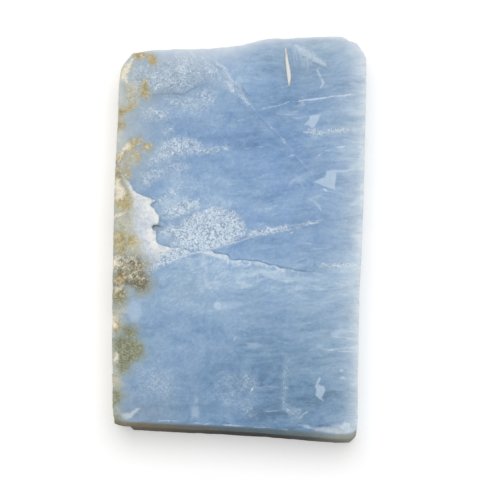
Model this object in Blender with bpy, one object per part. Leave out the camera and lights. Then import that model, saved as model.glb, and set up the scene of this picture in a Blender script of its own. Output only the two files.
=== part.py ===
"""A sawn slab of blue opal, lying on its flat sawn back.

The plan has +X across the slab and +Y along it, with the broken face looking up (+Z).
The origin is at the middle of the slab's footprint, on the surface that it lies on.
"""

import math

import bmesh
import bpy
from mathutils import Vector, noise

MM = 0.001

# Driving dimensions of the slab
WIDTH = 50.0 * MM
LENGTH = 80.5 * MM
THICKNESS = 8.0 * MM

# Plan outline in millimetres from the slab's centre, each edge from corner to corner
CRUST_EDGE = [(-24.3, -37.2), (-24.7, -33.8), (-24.8, -29.0), (-24.9, -23.0), (-25.0, -11.2),
              (-24.9, -1.4), (-24.8, 8.6), (-24.6, 15.8), (-24.3, 22.8), (-24.2, 30.0),
              (-23.8, 33.6), (-23.1, 34.9)]
CLEAN_EDGE = [(22.2, -38.7), (22.5, -36.5), (22.6, -29.8), (22.9, -23.0), (23.2, -11.2),
              (23.7, -4.0), (24.2, 6.6), (24.6, 18.8), (25.0, 31.0), (25.0, 35.7), (24.5, 36.9)]
NEAR_EDGE = [(-24.3, -37.2), (-22.6, -37.6), (-19.6, -37.7), (-12.9, -38.1), (-3.5, -38.5),
             (5.7, -39.1), (13.5, -39.7), (18.6, -40.2), (20.8, -39.9), (22.2, -38.7)]
FAR_EDGE = [(-23.1, 34.9), (-21.5, 36.5), (-17.8, 36.9), (-12.3, 37.3), (-5.6, 37.4), (0.0, 38.1),
            (4.3, 39.3), (7.8, 39.6), (9.5, 39.4), (11.1, 39.7), (14.1, 39.7), (15.3, 40.1),
            (17.1, 40.25), (19.8, 39.9), (21.2, 39.2), (23.5, 38.2), (24.5, 36.9)]

# Crest of the ledge where a flake broke away, from the crust side to the clean side
LEDGE = [(-26.0, 13.6), (-23.3, 11.8), (-22.3, 10.2), (-21.1, 9.1), (-19.6, 7.9), (-18.1, 7.4),
         (-17.6, 6.4), (-16.5, 4.9), (-16.0, 3.6), (-16.1, 2.2), (-16.5, 0.0), (-16.4, -1.4),
         (-15.6, -2.3), (-13.2, -2.7), (-11.3, -3.2), (-8.0, -3.8), (-5.2, -3.7), (-2.8, -4.1),
         (-1.9, -5.4), (1.4, -5.5), (4.4, -5.9), (7.9, -6.8), (9.9, -7.3), (12.6, -7.7),
         (15.0, -7.7), (17.3, -8.4), (20.4, -8.8), (26.0, -9.2)]
LEDGE_STEP = 0.75 * MM
LEDGE_STEP_LEAST = 0.05 * MM
LEDGE_WALL = 0.3 * MM
LEDGE_FULL_FROM, LEDGE_FULL_TO, LEDGE_END = -17.0 * MM, 2.0 * MM, 20.0 * MM
FLAKE_REACH = 9.0 * MM
FLAKE_FAR_SHARE = 0.35
GATHER_REACH = 2.4 * MM
GATHER_SHARE = 0.2

# Edges of the face, worn round, and the swell of the broken face
EDGE_INSET = 0.6 * MM
EDGE_DROP = 0.35 * MM
EDGE_ROUND = 1.2 * MM
CLEAN_SIDE_DROP = 0.3 * MM
CLEAN_SIDE_ROUND = 4.0 * MM
CRUST_SIDE_DROP = 0.6 * MM
CRUST_SIDE_REACH = 4.5 * MM
CRUST_LUMP_PITCH = 2.2 * MM
SWELL = 0.12 * MM
SWELL_PITCH = 12.0 * MM

# Depth of the rough skin on each side wall and the pitch of its lumps
CRUST_ROUGH = 0.5 * MM
BROKEN_ROUGH = 0.2 * MM
ROUGH_PITCH = 2.6 * MM

# Lattice of the slab: cells across, along and through
COLUMNS, ROWS, LAYERS = 40, 60, 4
LAYER_LEVELS = [0.0, 0.3, 0.62, 0.87, 1.0]
LAYER_INSETS = [0.0, 0.0, 0.0, 0.25, 1.0]

# Chips and pits cut out of the slab: middle, half sizes and turn about Z in degrees
SCOOPS = {
    "near_edge_chip": ((16.4, -39.3, 8.5), (4.6, 1.9, 1.35), -2.0),
    "crust_corner_chip": ((-21.0, -36.6, 8.5), (2.2, 1.9, 1.1), 20.0),
    "slot_pit": ((-15.9, 1.35, 7.75), (1.5, 0.45, 0.8), -6.0),
    "gash": ((9.4, 33.0, 7.95), (0.36, 4.0, 0.55), 4.0),
    "far_edge_chip": ((-9.6, 38.3, 8.2), (3.4, 1.3, 1.6), 3.0),
}
SCOOP_SEGMENTS, SCOOP_RINGS = 16, 10

# Wedge that undercuts the slab's corner at the crust
UNDERCUT_MIDDLE = (-24.6, -40.0, 0.6)
UNDERCUT_SIZE = (7.4, 6.0, 8.0)
UNDERCUT_TURN = (24.0, -14.0, -16.0)

OPAL_BLUE = (0.30, 0.44, 0.60, 1.0)


def clear_scene():
    """Remove everything that a new file starts with."""
    for item in list(bpy.data.objects):
        bpy.data.objects.remove(item, do_unlink=True)


def new_collection(name):
    """Add a collection to the scene."""
    collection = bpy.data.collections.new(name)
    bpy.context.scene.collection.children.link(collection)
    return collection


def opal_material():
    """Waxy blue stone."""
    material = bpy.data.materials.new("blue_opal")
    material.use_nodes = True
    shader = material.node_tree.nodes["Principled BSDF"]
    shader.inputs["Base Color"].default_value = OPAL_BLUE
    shader.inputs["Roughness"].default_value = 0.45
    shader.inputs["Metallic"].default_value = 0.0
    return material


def smooth(low, high, value):
    """Ease from 0 at low to 1 at high."""
    share = min(max((value - low) / (high - low), 0.0), 1.0)
    return share * share * (3.0 - 2.0 * share)


def polyline(points):
    """Turn points in millimetres into metres, with the distance along the line to each."""
    places = [Vector(point) * MM for point in points]
    reached = [0.0]
    for start, end in zip(places, places[1:]):
        reached.append(reached[-1] + (end - start).length)
    return places, reached


def point_along(line, share):
    """Point at a share of a line's length."""
    places, reached = line
    wanted = share * reached[-1]
    for index in range(1, len(places)):
        if wanted <= reached[index] or index == len(places) - 1:
            span = reached[index] - reached[index - 1]
            return places[index - 1].lerp(places[index], (wanted - reached[index - 1]) / span)


def plan_point(edges, across, along):
    """Blend the four edges into one point of the plan (a Coons patch)."""
    near, far, crust, clean = edges
    ruled_along = point_along(near, across).lerp(point_along(far, across), along)
    ruled_across = point_along(crust, along).lerp(point_along(clean, along), across)
    near_corners = near[0][0].lerp(near[0][-1], across)
    far_corners = far[0][0].lerp(far[0][-1], across)
    return ruled_along + ruled_across - near_corners.lerp(far_corners, along)


def inside(outline, point):
    """Tell whether a point lies in a closed outline, by counting crossings."""
    crossings = 0
    for start, end in zip(outline, outline[1:] + outline[:1]):
        if (start.y > point.y) != (end.y > point.y):
            share = (point.y - start.y) / (end.y - start.y)
            if point.x < start.x + share * (end.x - start.x):
                crossings += 1
    return crossings % 2 == 1


def nearest_on_ledge(ledge, point):
    """Nearest point of the ledge's crest."""
    best = None
    for start, end in zip(ledge, ledge[1:]):
        span = end - start
        share = min(max((point - start).dot(span) / span.length_squared, 0.0), 1.0)
        place = start + span * share
        if best is None or (place - point).length < (best - point).length:
            best = place
    return best


def gather_to_ledge(ledge, point):
    """Draw plan points near the ledge towards its crest, so that its wall is steep."""
    crest = nearest_on_ledge(ledge, point)
    away = point - crest
    if away.length >= GATHER_REACH or away.length == 0.0:
        return point
    share = GATHER_SHARE + (1.0 - GATHER_SHARE) * (away.length / GATHER_REACH) ** 2
    return crest + away * share


def flake_depth(ledge, point):
    """Depth of the flake scar below the unbroken level.

    It is the full step at the foot of the ledge and eases to a share of it further away.
    """
    crest = nearest_on_ledge(ledge, point)
    beyond = [Vector((26.0, 46.0)) * MM, Vector((-26.0, 46.0)) * MM]
    distance = (point - crest).length
    if not inside(ledge + beyond, point):
        distance = -distance
    fullness = 1.0 - smooth(LEDGE_FULL_TO, LEDGE_END, point.x)
    fullness *= 0.5 + 0.5 * smooth(-WIDTH / 2, LEDGE_FULL_FROM, point.x)
    step = LEDGE_STEP_LEAST + (LEDGE_STEP - LEDGE_STEP_LEAST) * fullness
    easing = FLAKE_FAR_SHARE + (1.0 - FLAKE_FAR_SHARE) * math.exp(-max(distance, 0.0) / FLAKE_REACH)
    return step * easing * smooth(-LEDGE_WALL / 2, LEDGE_WALL / 2, distance)


def edge_drop(across, along):
    """How far the face falls off towards its worn edges."""
    to_clean = (1.0 - across) * WIDTH
    border = min(across * WIDTH, to_clean, along * LENGTH, (1.0 - along) * LENGTH)
    drop = EDGE_DROP * (1.0 - min(border / EDGE_ROUND, 1.0)) ** 2
    return drop + CLEAN_SIDE_DROP * (1.0 - min(to_clean / CLEAN_SIDE_ROUND, 1.0)) ** 2


def crust_drop(across, plan):
    """How far the pitted stone beside the crust lies below the face."""
    nearness = 1.0 - min(across * WIDTH / CRUST_SIDE_REACH, 1.0)
    lumps = abs(noise.noise(Vector((plan.x, plan.y, 0.0)) / CRUST_LUMP_PITCH))
    return CRUST_SIDE_DROP * nearness * lumps


def face_height(across, along, plan, ledge):
    """Height of the broken face at a point of the plan."""
    swell = SWELL * (noise.noise(Vector((plan.x, plan.y, 0.0)) / SWELL_PITCH) - 1.0)
    drop = edge_drop(across, along) + crust_drop(across, plan) + flake_depth(ledge, plan)
    return THICKNESS + swell - drop


def spaced_levels(count, first, second):
    """Even levels from 0 to 1 with two narrow cells at either end."""
    inner = count - 4
    middle = [second + (1.0 - 2.0 * second) * step / inner for step in range(inner + 1)]
    return [0.0, first] + middle + [1.0 - first, 1.0]


def skin_depth(place, across):
    """Depth of the rough skin of a side wall, deepest on the crust side."""
    depth = CRUST_ROUGH if across == 0.0 else BROKEN_ROUGH
    return depth * abs(noise.noise(place / ROUGH_PITCH))


def unit_lattice():
    """A unit cube cut into cells along X, Y and Z."""
    block = bmesh.new()
    bmesh.ops.create_cube(block, size=1.0)
    for axis, cells in enumerate((COLUMNS, ROWS, LAYERS)):
        lengthwise = []
        for edge in block.edges:
            if abs(edge.verts[0].co[axis] - edge.verts[1].co[axis]) > 0.5:
                lengthwise.append(edge)
        bmesh.ops.subdivide_edges(block, edges=lengthwise, cuts=cells - 1, use_grid_fill=True)
    return block


def shape_slab(block):
    """Move each lattice point to its place on the slab."""
    edges = [polyline(points) for points in (NEAR_EDGE, FAR_EDGE, CRUST_EDGE, CLEAN_EDGE)]
    ledge = polyline(LEDGE)[0]
    column_levels = spaced_levels(COLUMNS, 0.5 * MM / WIDTH, 1.4 * MM / WIDTH)
    row_levels = spaced_levels(ROWS, 0.5 * MM / LENGTH, 1.4 * MM / LENGTH)
    wall_height = THICKNESS - EDGE_DROP
    for corner in block.verts:
        across = column_levels[round((corner.co.x + 0.5) * COLUMNS)]
        along = row_levels[round((corner.co.y + 0.5) * ROWS)]
        layer = round((corner.co.z + 0.5) * LAYERS)
        plan = plan_point(edges, across, along)
        inset = EDGE_INSET * LAYER_INSETS[layer]
        on_wall = across in (0.0, 1.0) or along in (0.0, 1.0)
        if on_wall:
            inset += skin_depth(Vector((plan.x, plan.y, LAYER_LEVELS[layer] * THICKNESS)), across)
        plan = Vector((plan.x * (1.0 - 2.0 * inset / WIDTH), plan.y * (1.0 - 2.0 * inset / LENGTH)))
        height = wall_height * LAYER_LEVELS[layer]
        if layer == LAYERS:
            plan = plan if on_wall else gather_to_ledge(ledge, plan)
            height = face_height(across, along, plan, ledge)
        corner.co = Vector((plan.x, plan.y, height))


def merge_back(block):
    """Make the sawn back a single flat face."""
    back = [face for face in block.faces if all(corner.co.z == 0.0 for corner in face.verts)]
    bmesh.ops.dissolve_faces(block, faces=back)


def mesh_object(name, block, collection):
    """Turn a bmesh into an object of a collection."""
    mesh = bpy.data.meshes.new(name)
    block.to_mesh(mesh)
    block.free()
    item = bpy.data.objects.new(name, mesh)
    collection.objects.link(item)
    return item


def make_slab(collection):
    """The stone before its chips are cut."""
    block = unit_lattice()
    shape_slab(block)
    merge_back(block)
    bmesh.ops.recalc_face_normals(block, faces=block.faces)
    slab = mesh_object("opal_slab", block, collection)
    slab.data.materials.append(opal_material())
    return slab


def make_scoop(name, middle, half_sizes, turn, collection):
    """An egg-shaped cutter for a chip or a pit."""
    block = bmesh.new()
    bmesh.ops.create_uvsphere(block, u_segments=SCOOP_SEGMENTS, v_segments=SCOOP_RINGS, radius=1.0)
    bmesh.ops.scale(block, vec=Vector(half_sizes) * MM, verts=block.verts)
    cutter = mesh_object(name, block, collection)
    cutter.location = Vector(middle) * MM
    cutter.rotation_euler.z = math.radians(turn)
    return cutter


def make_undercut(collection):
    """A turned block that undercuts the corner."""
    block = bmesh.new()
    bmesh.ops.create_cube(block, size=1.0)
    bmesh.ops.scale(block, vec=Vector(UNDERCUT_SIZE) * MM, verts=block.verts)
    cutter = mesh_object("corner_undercut", block, collection)
    cutter.location = Vector(UNDERCUT_MIDDLE) * MM
    cutter.rotation_euler = [math.radians(angle) for angle in UNDERCUT_TURN]
    return cutter


def cut(body, cutter):
    """Cut one shape out of the slab."""
    cutter.hide_render = True
    cutter.display_type = "WIRE"
    modifier = body.modifiers.new(cutter.name, "BOOLEAN")
    modifier.operation = "DIFFERENCE"
    modifier.solver = "EXACT"
    modifier.object = cutter


def main():
    """Build the slab and cut its chips."""
    clear_scene()
    stone = new_collection("blue_opal_slab")
    cutters = new_collection("cutters")
    slab = make_slab(stone)
    for name, (middle, half_sizes, turn) in SCOOPS.items():
        cut(slab, make_scoop(name, middle, half_sizes, turn, cutters))
    cut(slab, make_undercut(cutters))


main()
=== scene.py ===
"""Looks of a sawn slab of blue opal that lies on its flat sawn back.

X runs across the slab from its crust side to its clean side, Y along it and Z out of its broken face.
Shapes are worked out in millimetres and become metres when their mesh is made.
"""

import logging
import math
from dataclasses import dataclass, field
from enum import Enum
from typing import Any, Iterable, Union

import bpy
import numpy as np
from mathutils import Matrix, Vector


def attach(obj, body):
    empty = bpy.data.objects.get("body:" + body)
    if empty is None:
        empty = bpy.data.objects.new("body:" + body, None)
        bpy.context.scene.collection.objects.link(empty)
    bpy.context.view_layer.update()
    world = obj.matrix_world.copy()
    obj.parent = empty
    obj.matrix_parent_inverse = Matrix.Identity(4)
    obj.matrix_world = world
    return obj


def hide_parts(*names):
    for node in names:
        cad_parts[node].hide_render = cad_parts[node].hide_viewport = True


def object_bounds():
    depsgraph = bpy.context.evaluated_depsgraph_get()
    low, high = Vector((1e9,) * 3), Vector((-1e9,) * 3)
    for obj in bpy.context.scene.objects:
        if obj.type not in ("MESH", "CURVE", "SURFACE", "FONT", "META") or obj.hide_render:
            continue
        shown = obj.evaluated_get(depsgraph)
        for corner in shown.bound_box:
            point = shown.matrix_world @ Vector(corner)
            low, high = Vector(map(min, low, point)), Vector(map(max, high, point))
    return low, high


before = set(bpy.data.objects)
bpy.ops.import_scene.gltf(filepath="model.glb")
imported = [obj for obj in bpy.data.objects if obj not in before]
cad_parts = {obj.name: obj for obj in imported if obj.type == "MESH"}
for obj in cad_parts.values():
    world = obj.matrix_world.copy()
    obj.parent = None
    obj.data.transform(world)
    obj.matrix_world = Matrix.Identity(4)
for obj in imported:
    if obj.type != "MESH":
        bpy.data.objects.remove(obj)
CAD_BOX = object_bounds()

MM = 0.001

Array = np.ndarray
Places = tuple[tuple[float, float], ...]
Colour = tuple[float, float, float]
Shades = tuple[Colour, Colour, Colour]

# The slab's width and thickness, and a height above all of it, in millimetres
WIDTH = 50.0
THICKNESS = 8.0
ABOVE_ALL = 99.0

log = logging.getLogger("blue_opal")


# Shapes as arrays


def smooth(low: float, high: float, value: Array) -> Array:
    """Ease from 0 at low to 1 at high: 3 t squared less 2 t cubed, where t is the share of the way."""
    share = np.clip((value - low) / (high - low), 0.0, 1.0)
    return share * share * (3.0 - 2.0 * share)


def cell_values(cells: Array, seed: int) -> Array:
    """Give every lattice cell a fixed number.

    The formula mixes the cell's three whole numbers and the seed by multiplying and folding their bits.

    Args:
        cells: Whole-numbered cells, one row each.
        seed: Picks one of many such lattices.

    Returns:
        A number from 0 to 1 for each row.
    """
    mixed = cells[:, 0] * 73856093 ^ cells[:, 1] * 19349663 ^ cells[:, 2] * 83492791 ^ seed * 40503
    mixed = (mixed ^ mixed >> 13) * 1274126177
    mixed = mixed ^ mixed >> 16
    return (mixed & 0xFFFFFF) / 0xFFFFFF


def noise(places: Array, pitch: float, seed: int) -> Array:
    """Smooth noise: values at the corners of a lattice, blended by eased shares along each axis.

    Args:
        places: Points in millimetres, one row each.
        pitch: Size of a lattice cell in millimetres.
        seed: Picks the lattice's values.

    Returns:
        A number from -1 to 1 for each point.
    """
    scaled = places / pitch
    cell = np.floor(scaled).astype(np.int64)
    share = scaled - cell
    eased = share * share * (3.0 - 2.0 * share)
    total = np.zeros(len(places))
    for corner in np.ndindex(2, 2, 2):
        weight = np.prod(np.where(corner, eased, 1.0 - eased), axis=1)
        total += weight * cell_values(cell + np.array(corner), seed)
    return 2.0 * total - 1.0


def layered(places: Array, pitch: float, layers: int, seed: int) -> Array:
    """Noise in layers, each with half the pitch and half the height of the one before it."""
    return sum(noise(places, pitch / 2**k, seed + k) * 0.5**k for k in range(layers))


def walk(corners: Places, share: Array) -> Array:
    """Place points along a line, straight between its corners.

    Args:
        corners: The line's corners in millimetres, in order.
        share: Shares of the line's length.

    Returns:
        The points, one row for each share.
    """
    line = np.array(corners)
    reached = np.concatenate([[0.0], np.cumsum(np.hypot(*np.diff(line, axis=0).T))])
    wanted = share * reached[-1]
    return np.stack([np.interp(wanted, reached, line[:, axis]) for axis in (0, 1)], axis=-1)


def on_plane(plan: Array) -> Array:
    """Points of the plan as places in space, at height 0."""
    return np.column_stack([plan, np.zeros(len(plan))])


def read_table(table: Places, places: Array) -> Array:
    """Read a table of places and values, straight between its rows."""
    return np.interp(places, *np.array(table).T)


@dataclass(frozen=True)
class Line:
    """A line through corners in the plan.

    Attributes:
        corners: Its corners in millimetres, in order.
    """

    corners: Places

    def follow(self, plan: Array) -> tuple[Array, Array]:
        """Place points against the line.

        For each stretch the nearest point is start + share * span, with the share held between 0 and 1.
        The nearest stretch counts, and of two that meet in a corner the one that faces the point squarely.

        Args:
            plan: Points in the plan, one row each.

        Returns:
            The distance to the line, positive on its left, and the length along it to the nearest point.
        """
        nearest = np.full(len(plan), np.inf)
        squareness = np.zeros(len(plan))
        across, along = np.zeros(len(plan)), np.zeros(len(plan))
        reached = 0.0
        line = np.array(self.corners)
        for start, end in zip(line, line[1:]):
            span = end - start
            length = float(np.hypot(*span))
            offset = plan - start
            share = np.clip(offset @ span / length**2, 0.0, 1.0)
            gap = offset - share[:, None] * span
            distance = np.hypot(gap[:, 0], gap[:, 1])
            side = (span[0] * offset[:, 1] - span[1] * offset[:, 0]) / length
            level = np.abs(distance - nearest) < 1e-9
            closer = (distance < nearest - 1e-9) | (level & (np.abs(side) > squareness))
            nearest = np.where(closer, distance, nearest)
            squareness = np.where(closer, np.abs(side), squareness)
            across = np.where(closer, np.copysign(distance, side), across)
            along = np.where(closer, reached + share * length, along)
            reached += length
        return across, along

    def length(self) -> float:
        """Length of the line in millimetres."""
        return float(np.hypot(*np.diff(np.array(self.corners), axis=0).T).sum())


@dataclass(frozen=True)
class Region:
    """A closed patch of the plan.

    Attributes:
        corners: The corners of its outline in millimetres, in order.
    """

    corners: Places

    def reach(self, plan: Array) -> Array:
        """Place points against the outline.

        A point is inside where a ray from it crosses the outline an odd number of times.

        Args:
            plan: Points in the plan, one row each.

        Returns:
            The distance of each point to the outline, positive inside it.
        """
        distance = np.abs(Line(self.corners + self.corners[:1]).follow(plan)[0])
        x, y = plan.T
        within = np.zeros(len(plan), bool)
        line = np.array(self.corners)
        for start, end in zip(line, np.roll(line, -1, axis=0)):
            if start[1] == end[1]:
                continue
            spans = (start[1] > y) != (end[1] > y)
            within ^= spans & (x < start[0] + (y - start[1]) / (end[1] - start[1]) * (end[0] - start[0]))
        return np.where(within, distance, -distance)


def widest(regions: Iterable[Region], plan: Array) -> Array:
    """Distance to the outline of several regions together, positive inside any of them."""
    return np.max([region.reach(plan) for region in regions], axis=0)


# The stone's plan and relief


@dataclass(frozen=True)
class Outline:
    """The slab's plan, from four edges in millimetres.

    Attributes:
        crust: Edge along the crust side, from the near corner to the far one.
        clean: Edge along the clean side, from the near corner to the far one.
        near: Near edge, from the crust side to the clean side.
        far: Far edge, from the crust side to the clean side.
        width: Slab's width.
        length: Slab's length.
    """

    crust: Places = (
        (-24.3, -37.2), (-24.7, -33.8), (-24.8, -29.0), (-24.9, -23.0), (-25.0, -11.2), (-24.9, -1.4),
        (-24.8, 8.6), (-24.6, 15.8), (-24.3, 22.8), (-24.2, 30.0), (-23.8, 33.6), (-23.1, 34.9),
    )
    clean: Places = (
        (22.3, -39.1), (22.6, -36.5), (22.7, -29.8), (22.9, -23.0), (23.2, -11.2), (23.7, -4.0),
        (24.2, 6.6), (24.6, 18.8), (25.0, 31.0), (25.0, 35.7), (24.5, 36.9),
    )
    near: Places = (
        (-24.3, -37.2), (-22.6, -37.6), (-19.6, -37.7), (-12.9, -38.1), (-3.5, -38.5), (5.7, -39.1),
        (13.5, -39.75), (18.6, -40.2), (21.2, -40.1), (22.3, -39.1),
    )
    far: Places = (
        (-23.1, 34.9), (-21.5, 36.9), (-17.8, 37.45), (-12.3, 37.75), (-5.6, 37.85), (0.0, 38.5),
        (3.9, 39.6), (7.2, 40.0), (9.5, 39.8), (11.1, 40.0), (14.1, 40.1), (15.3, 40.17), (17.1, 40.17),
        (20.2, 40.17), (21.0, 39.8), (21.5, 39.4), (23.2, 38.8), (24.5, 36.9),
    )
    width: float = WIDTH
    length: float = 80.5

    def plan(self, across: Array, along: Array) -> Array:
        """Blend the four edges into the plan (a Coons patch).

        The point is the mix of the near and far edges, plus the mix of the crust and clean edges, less the
        mix of the four corners.

        Args:
            across: Shares of the way from the crust side to the clean side.
            along: Shares of the way from the near edge to the far one.

        Returns:
            Points in millimetres, one row for each pair of shares.
        """
        u, v = across[:, None], along[:, None]
        lengthwise = walk(self.near, across) * (1.0 - v) + walk(self.far, across) * v
        crosswise = walk(self.crust, along) * (1.0 - u) + walk(self.clean, along) * u
        near_corners = np.array(self.near[0]) * (1.0 - u) + np.array(self.near[-1]) * u
        far_corners = np.array(self.far[0]) * (1.0 - u) + np.array(self.far[-1]) * u
        return lengthwise + crosswise - near_corners * (1.0 - v) - far_corners * v

    def shrink(self, plan: Array, inset: Array) -> Array:
        """Draw the plan in towards its middle, by an inset in millimetres at the outline."""
        return plan * (1.0 - 2.0 * inset[:, None] / np.array([self.width, self.length]))


@dataclass(frozen=True)
class Ledge:
    """The ledge where a flake broke away, with the shallow scar beyond it.

    Attributes:
        crest: The ledge's crest, from the crust side to the clean side.
        beyond_far: Corners past the far edge that close the scar's region.
        step: Height of the ledge where it is highest.
        least: Height of the ledge where it dies out.
        wall: Width of its steep wall.
        reach: Distance in which the scar rises again.
        far_share: Share of the step that the scar keeps far away.
        gather: Distance from the crest within which mesh lines are drawn to it.
        closeness: Share of its distance that a mesh line on the crest keeps.
        ragged: How far the crest is broken to either side.
    """

    crest: Places = (
        (-26.0, 13.6), (-23.2, 11.7), (-22.3, 10.8), (-21.7, 10.2), (-21.2, 9.6), (-21.0, 8.8),
        (-20.5, 8.3), (-19.8, 7.9), (-18.6, 7.6), (-17.9, 7.3), (-17.2, 6.9), (-16.7, 6.6), (-17.2, 6.3),
        (-17.5, 5.8), (-16.9, 5.1), (-16.4, 4.3), (-15.9, 3.5), (-15.9, 2.9), (-16.1, 1.8), (-16.5, 0.3),
        (-16.6, -0.8), (-16.4, -1.7), (-15.4, -2.3), (-14.1, -2.7), (-13.0, -2.9), (-11.9, -3.0),
        (-7.6, -3.6), (-5.6, -3.2), (-5.0, -3.8), (-3.8, -4.0), (-2.6, -4.2), (-2.3, -4.7), (-2.2, -5.2),
        (-1.1, -5.5), (0.9, -5.4), (2.8, -5.5), (3.8, -5.6), (4.8, -5.9), (5.7, -6.3), (8.2, -6.7),
        (10.6, -7.3), (12.3, -7.7), (15.0, -7.7), (17.3, -8.4), (20.4, -8.8), (26.0, -9.2),
    )
    beyond_far: Places = ((26.0, 46.0), (-26.0, 46.0))
    step: float = 0.75
    least: float = 0.05
    wall: float = 0.26
    reach: float = 9.0
    far_share: float = 0.35
    gather: float = 1.5
    closeness: float = 0.35
    ragged: float = 0.20

    def beyond(self, plan: Array) -> Array:
        """Place points against the crest, which noise breaks finely.

        Args:
            plan: Points in the plan, one row each.

        Returns:
            The distance to the crest, positive on the side of the scar.
        """
        scar = Region(self.crest + self.beyond_far)
        return scar.reach(plan) + self.ragged * layered(on_plane(plan), 1.1, 4, 11)

    def drawn(self, plan: Array) -> Array:
        """Draw points near the crest towards it, so that the mesh is finest on the ledge's wall.

        Args:
            plan: Points in the plan, one row each.

        Returns:
            The points, each nearer to the crest by a share that eases to none at the gather distance.
        """
        line = Line(self.crest)
        across, along = line.follow(plan)
        crest = walk(self.crest, along / line.length())
        away = plan - crest
        near = np.clip(np.abs(across) / self.gather, 0.0, 1.0)[:, None]
        share = self.closeness + (1.0 - self.closeness) * near**2
        return np.where(near < 1.0, crest + away * share, plan)

    def fullness(self, plan: Array) -> Array:
        """How high the ledge stands, from 0 at its ends to 1 in its middle."""
        return (1.0 - smooth(2.0, 20.0, plan[:, 0])) * (0.5 + 0.5 * smooth(-25.0, -17.0, plan[:, 0]))

    def depth(self, plan: Array) -> Array:
        """Depth of the scar below the unbroken level.

        The step's height fades along the ledge, and away from it the scar rises as exp(-distance / reach).

        Args:
            plan: Points in the plan, one row each.

        Returns:
            The depth in millimetres for each point.
        """
        distance = self.beyond(plan)
        step = self.least + (self.step - self.least) * self.fullness(plan)
        easing = self.far_share + (1.0 - self.far_share) * np.exp(-np.maximum(distance, 0.0) / self.reach)
        return step * easing * smooth(-self.wall / 2, self.wall / 2, distance)


@dataclass(frozen=True)
class Scoop:
    """An egg-shaped chip or pit.

    Attributes:
        middle: Middle of the egg in millimetres.
        half_sizes: Its half sizes along its own axes.
        turn: Its turn about Z in degrees.
    """

    middle: tuple[float, float, float]
    half_sizes: tuple[float, float, float]
    turn: float

    def floor(self, plan: Array) -> Array:
        """Work out the egg's underside, by the equation of an ellipsoid.

        Args:
            plan: Points in the plan, one row each.

        Returns:
            The height of the underside at each point, and a height above everything beside the egg.
        """
        angle = math.radians(self.turn)
        x, y = (plan - np.array(self.middle[:2])).T
        long = (x * math.cos(angle) + y * math.sin(angle)) / self.half_sizes[0]
        wide = (y * math.cos(angle) - x * math.sin(angle)) / self.half_sizes[1]
        left = 1.0 - long**2 - wide**2
        underside = self.middle[2] - self.half_sizes[2] * np.sqrt(np.maximum(left, 0.0))
        return np.where(left > 0.0, underside, ABOVE_ALL)


# Chips and pits, the same as those cut from the solid
SCOOPS: dict[str, Scoop] = {
    "near_edge_chip": Scoop((16.4, -39.3, 8.5), (4.6, 1.9, 1.35), -2.0),
    "crust_corner_chip": Scoop((-21.0, -36.6, 8.5), (2.2, 1.9, 1.1), 20.0),
    "slot_pit": Scoop((-15.9, 1.35, 7.75), (1.5, 0.45, 0.8), -6.0),
    "gash": Scoop((9.4, 33.0, 7.95), (0.30, 4.0, 0.45), 4.0),
    "far_edge_chip": Scoop((-9.6, 38.3, 8.2), (3.4, 1.3, 1.6), 3.0),
}


@dataclass(frozen=True)
class Seam:
    """A healed crack that stands out of the face as a low step or ridge.

    Attributes:
        line: Where it runs.
        step: How much higher the face is on the line's left.
        ridge: Height of the thin ridge on the line.
        width: Width of that ridge.
    """

    line: Line
    step: float
    ridge: float
    width: float

    def height(self, plan: Array) -> Array:
        """Work out the height that the seam adds: an eased step, plus a bell across the line.

        Args:
            plan: Points in the plan, one row each.

        Returns:
            The height in millimetres for each point, which fades at both ends of the line.
        """
        across, along = self.line.follow(plan)
        ends = smooth(0.0, 3.0, along) * smooth(0.0, 3.0, self.line.length() - along)
        step = self.step * smooth(-0.15, 0.15, across) * np.exp(-np.maximum(across, 0.0) / 2.5)
        return ends * (step + self.ridge * np.exp(-((across / self.width) ** 2)))


SAW_SEAM = Line((
    (-18.6, -7.6), (-15.5, -6.1), (-12.5, -5.1), (-9.4, -4.0), (-4.0, -2.5), (1.0, -1.0), (5.6, 0.5),
    (9.5, 1.4), (13.1, 2.2), (15.5, 2.8),
))
DIAGONAL_SEAM = Line((
    (-8.0, 37.2), (-4.1, 34.5), (-2.1, 32.2), (0.0, 29.1), (2.0, 26.0), (4.4, 23.2), (6.0, 21.6),
    (8.0, 19.4), (9.9, 17.0), (11.6, 14.7), (13.8, 12.4), (15.0, 8.6), (15.7, 5.0),
))


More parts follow.
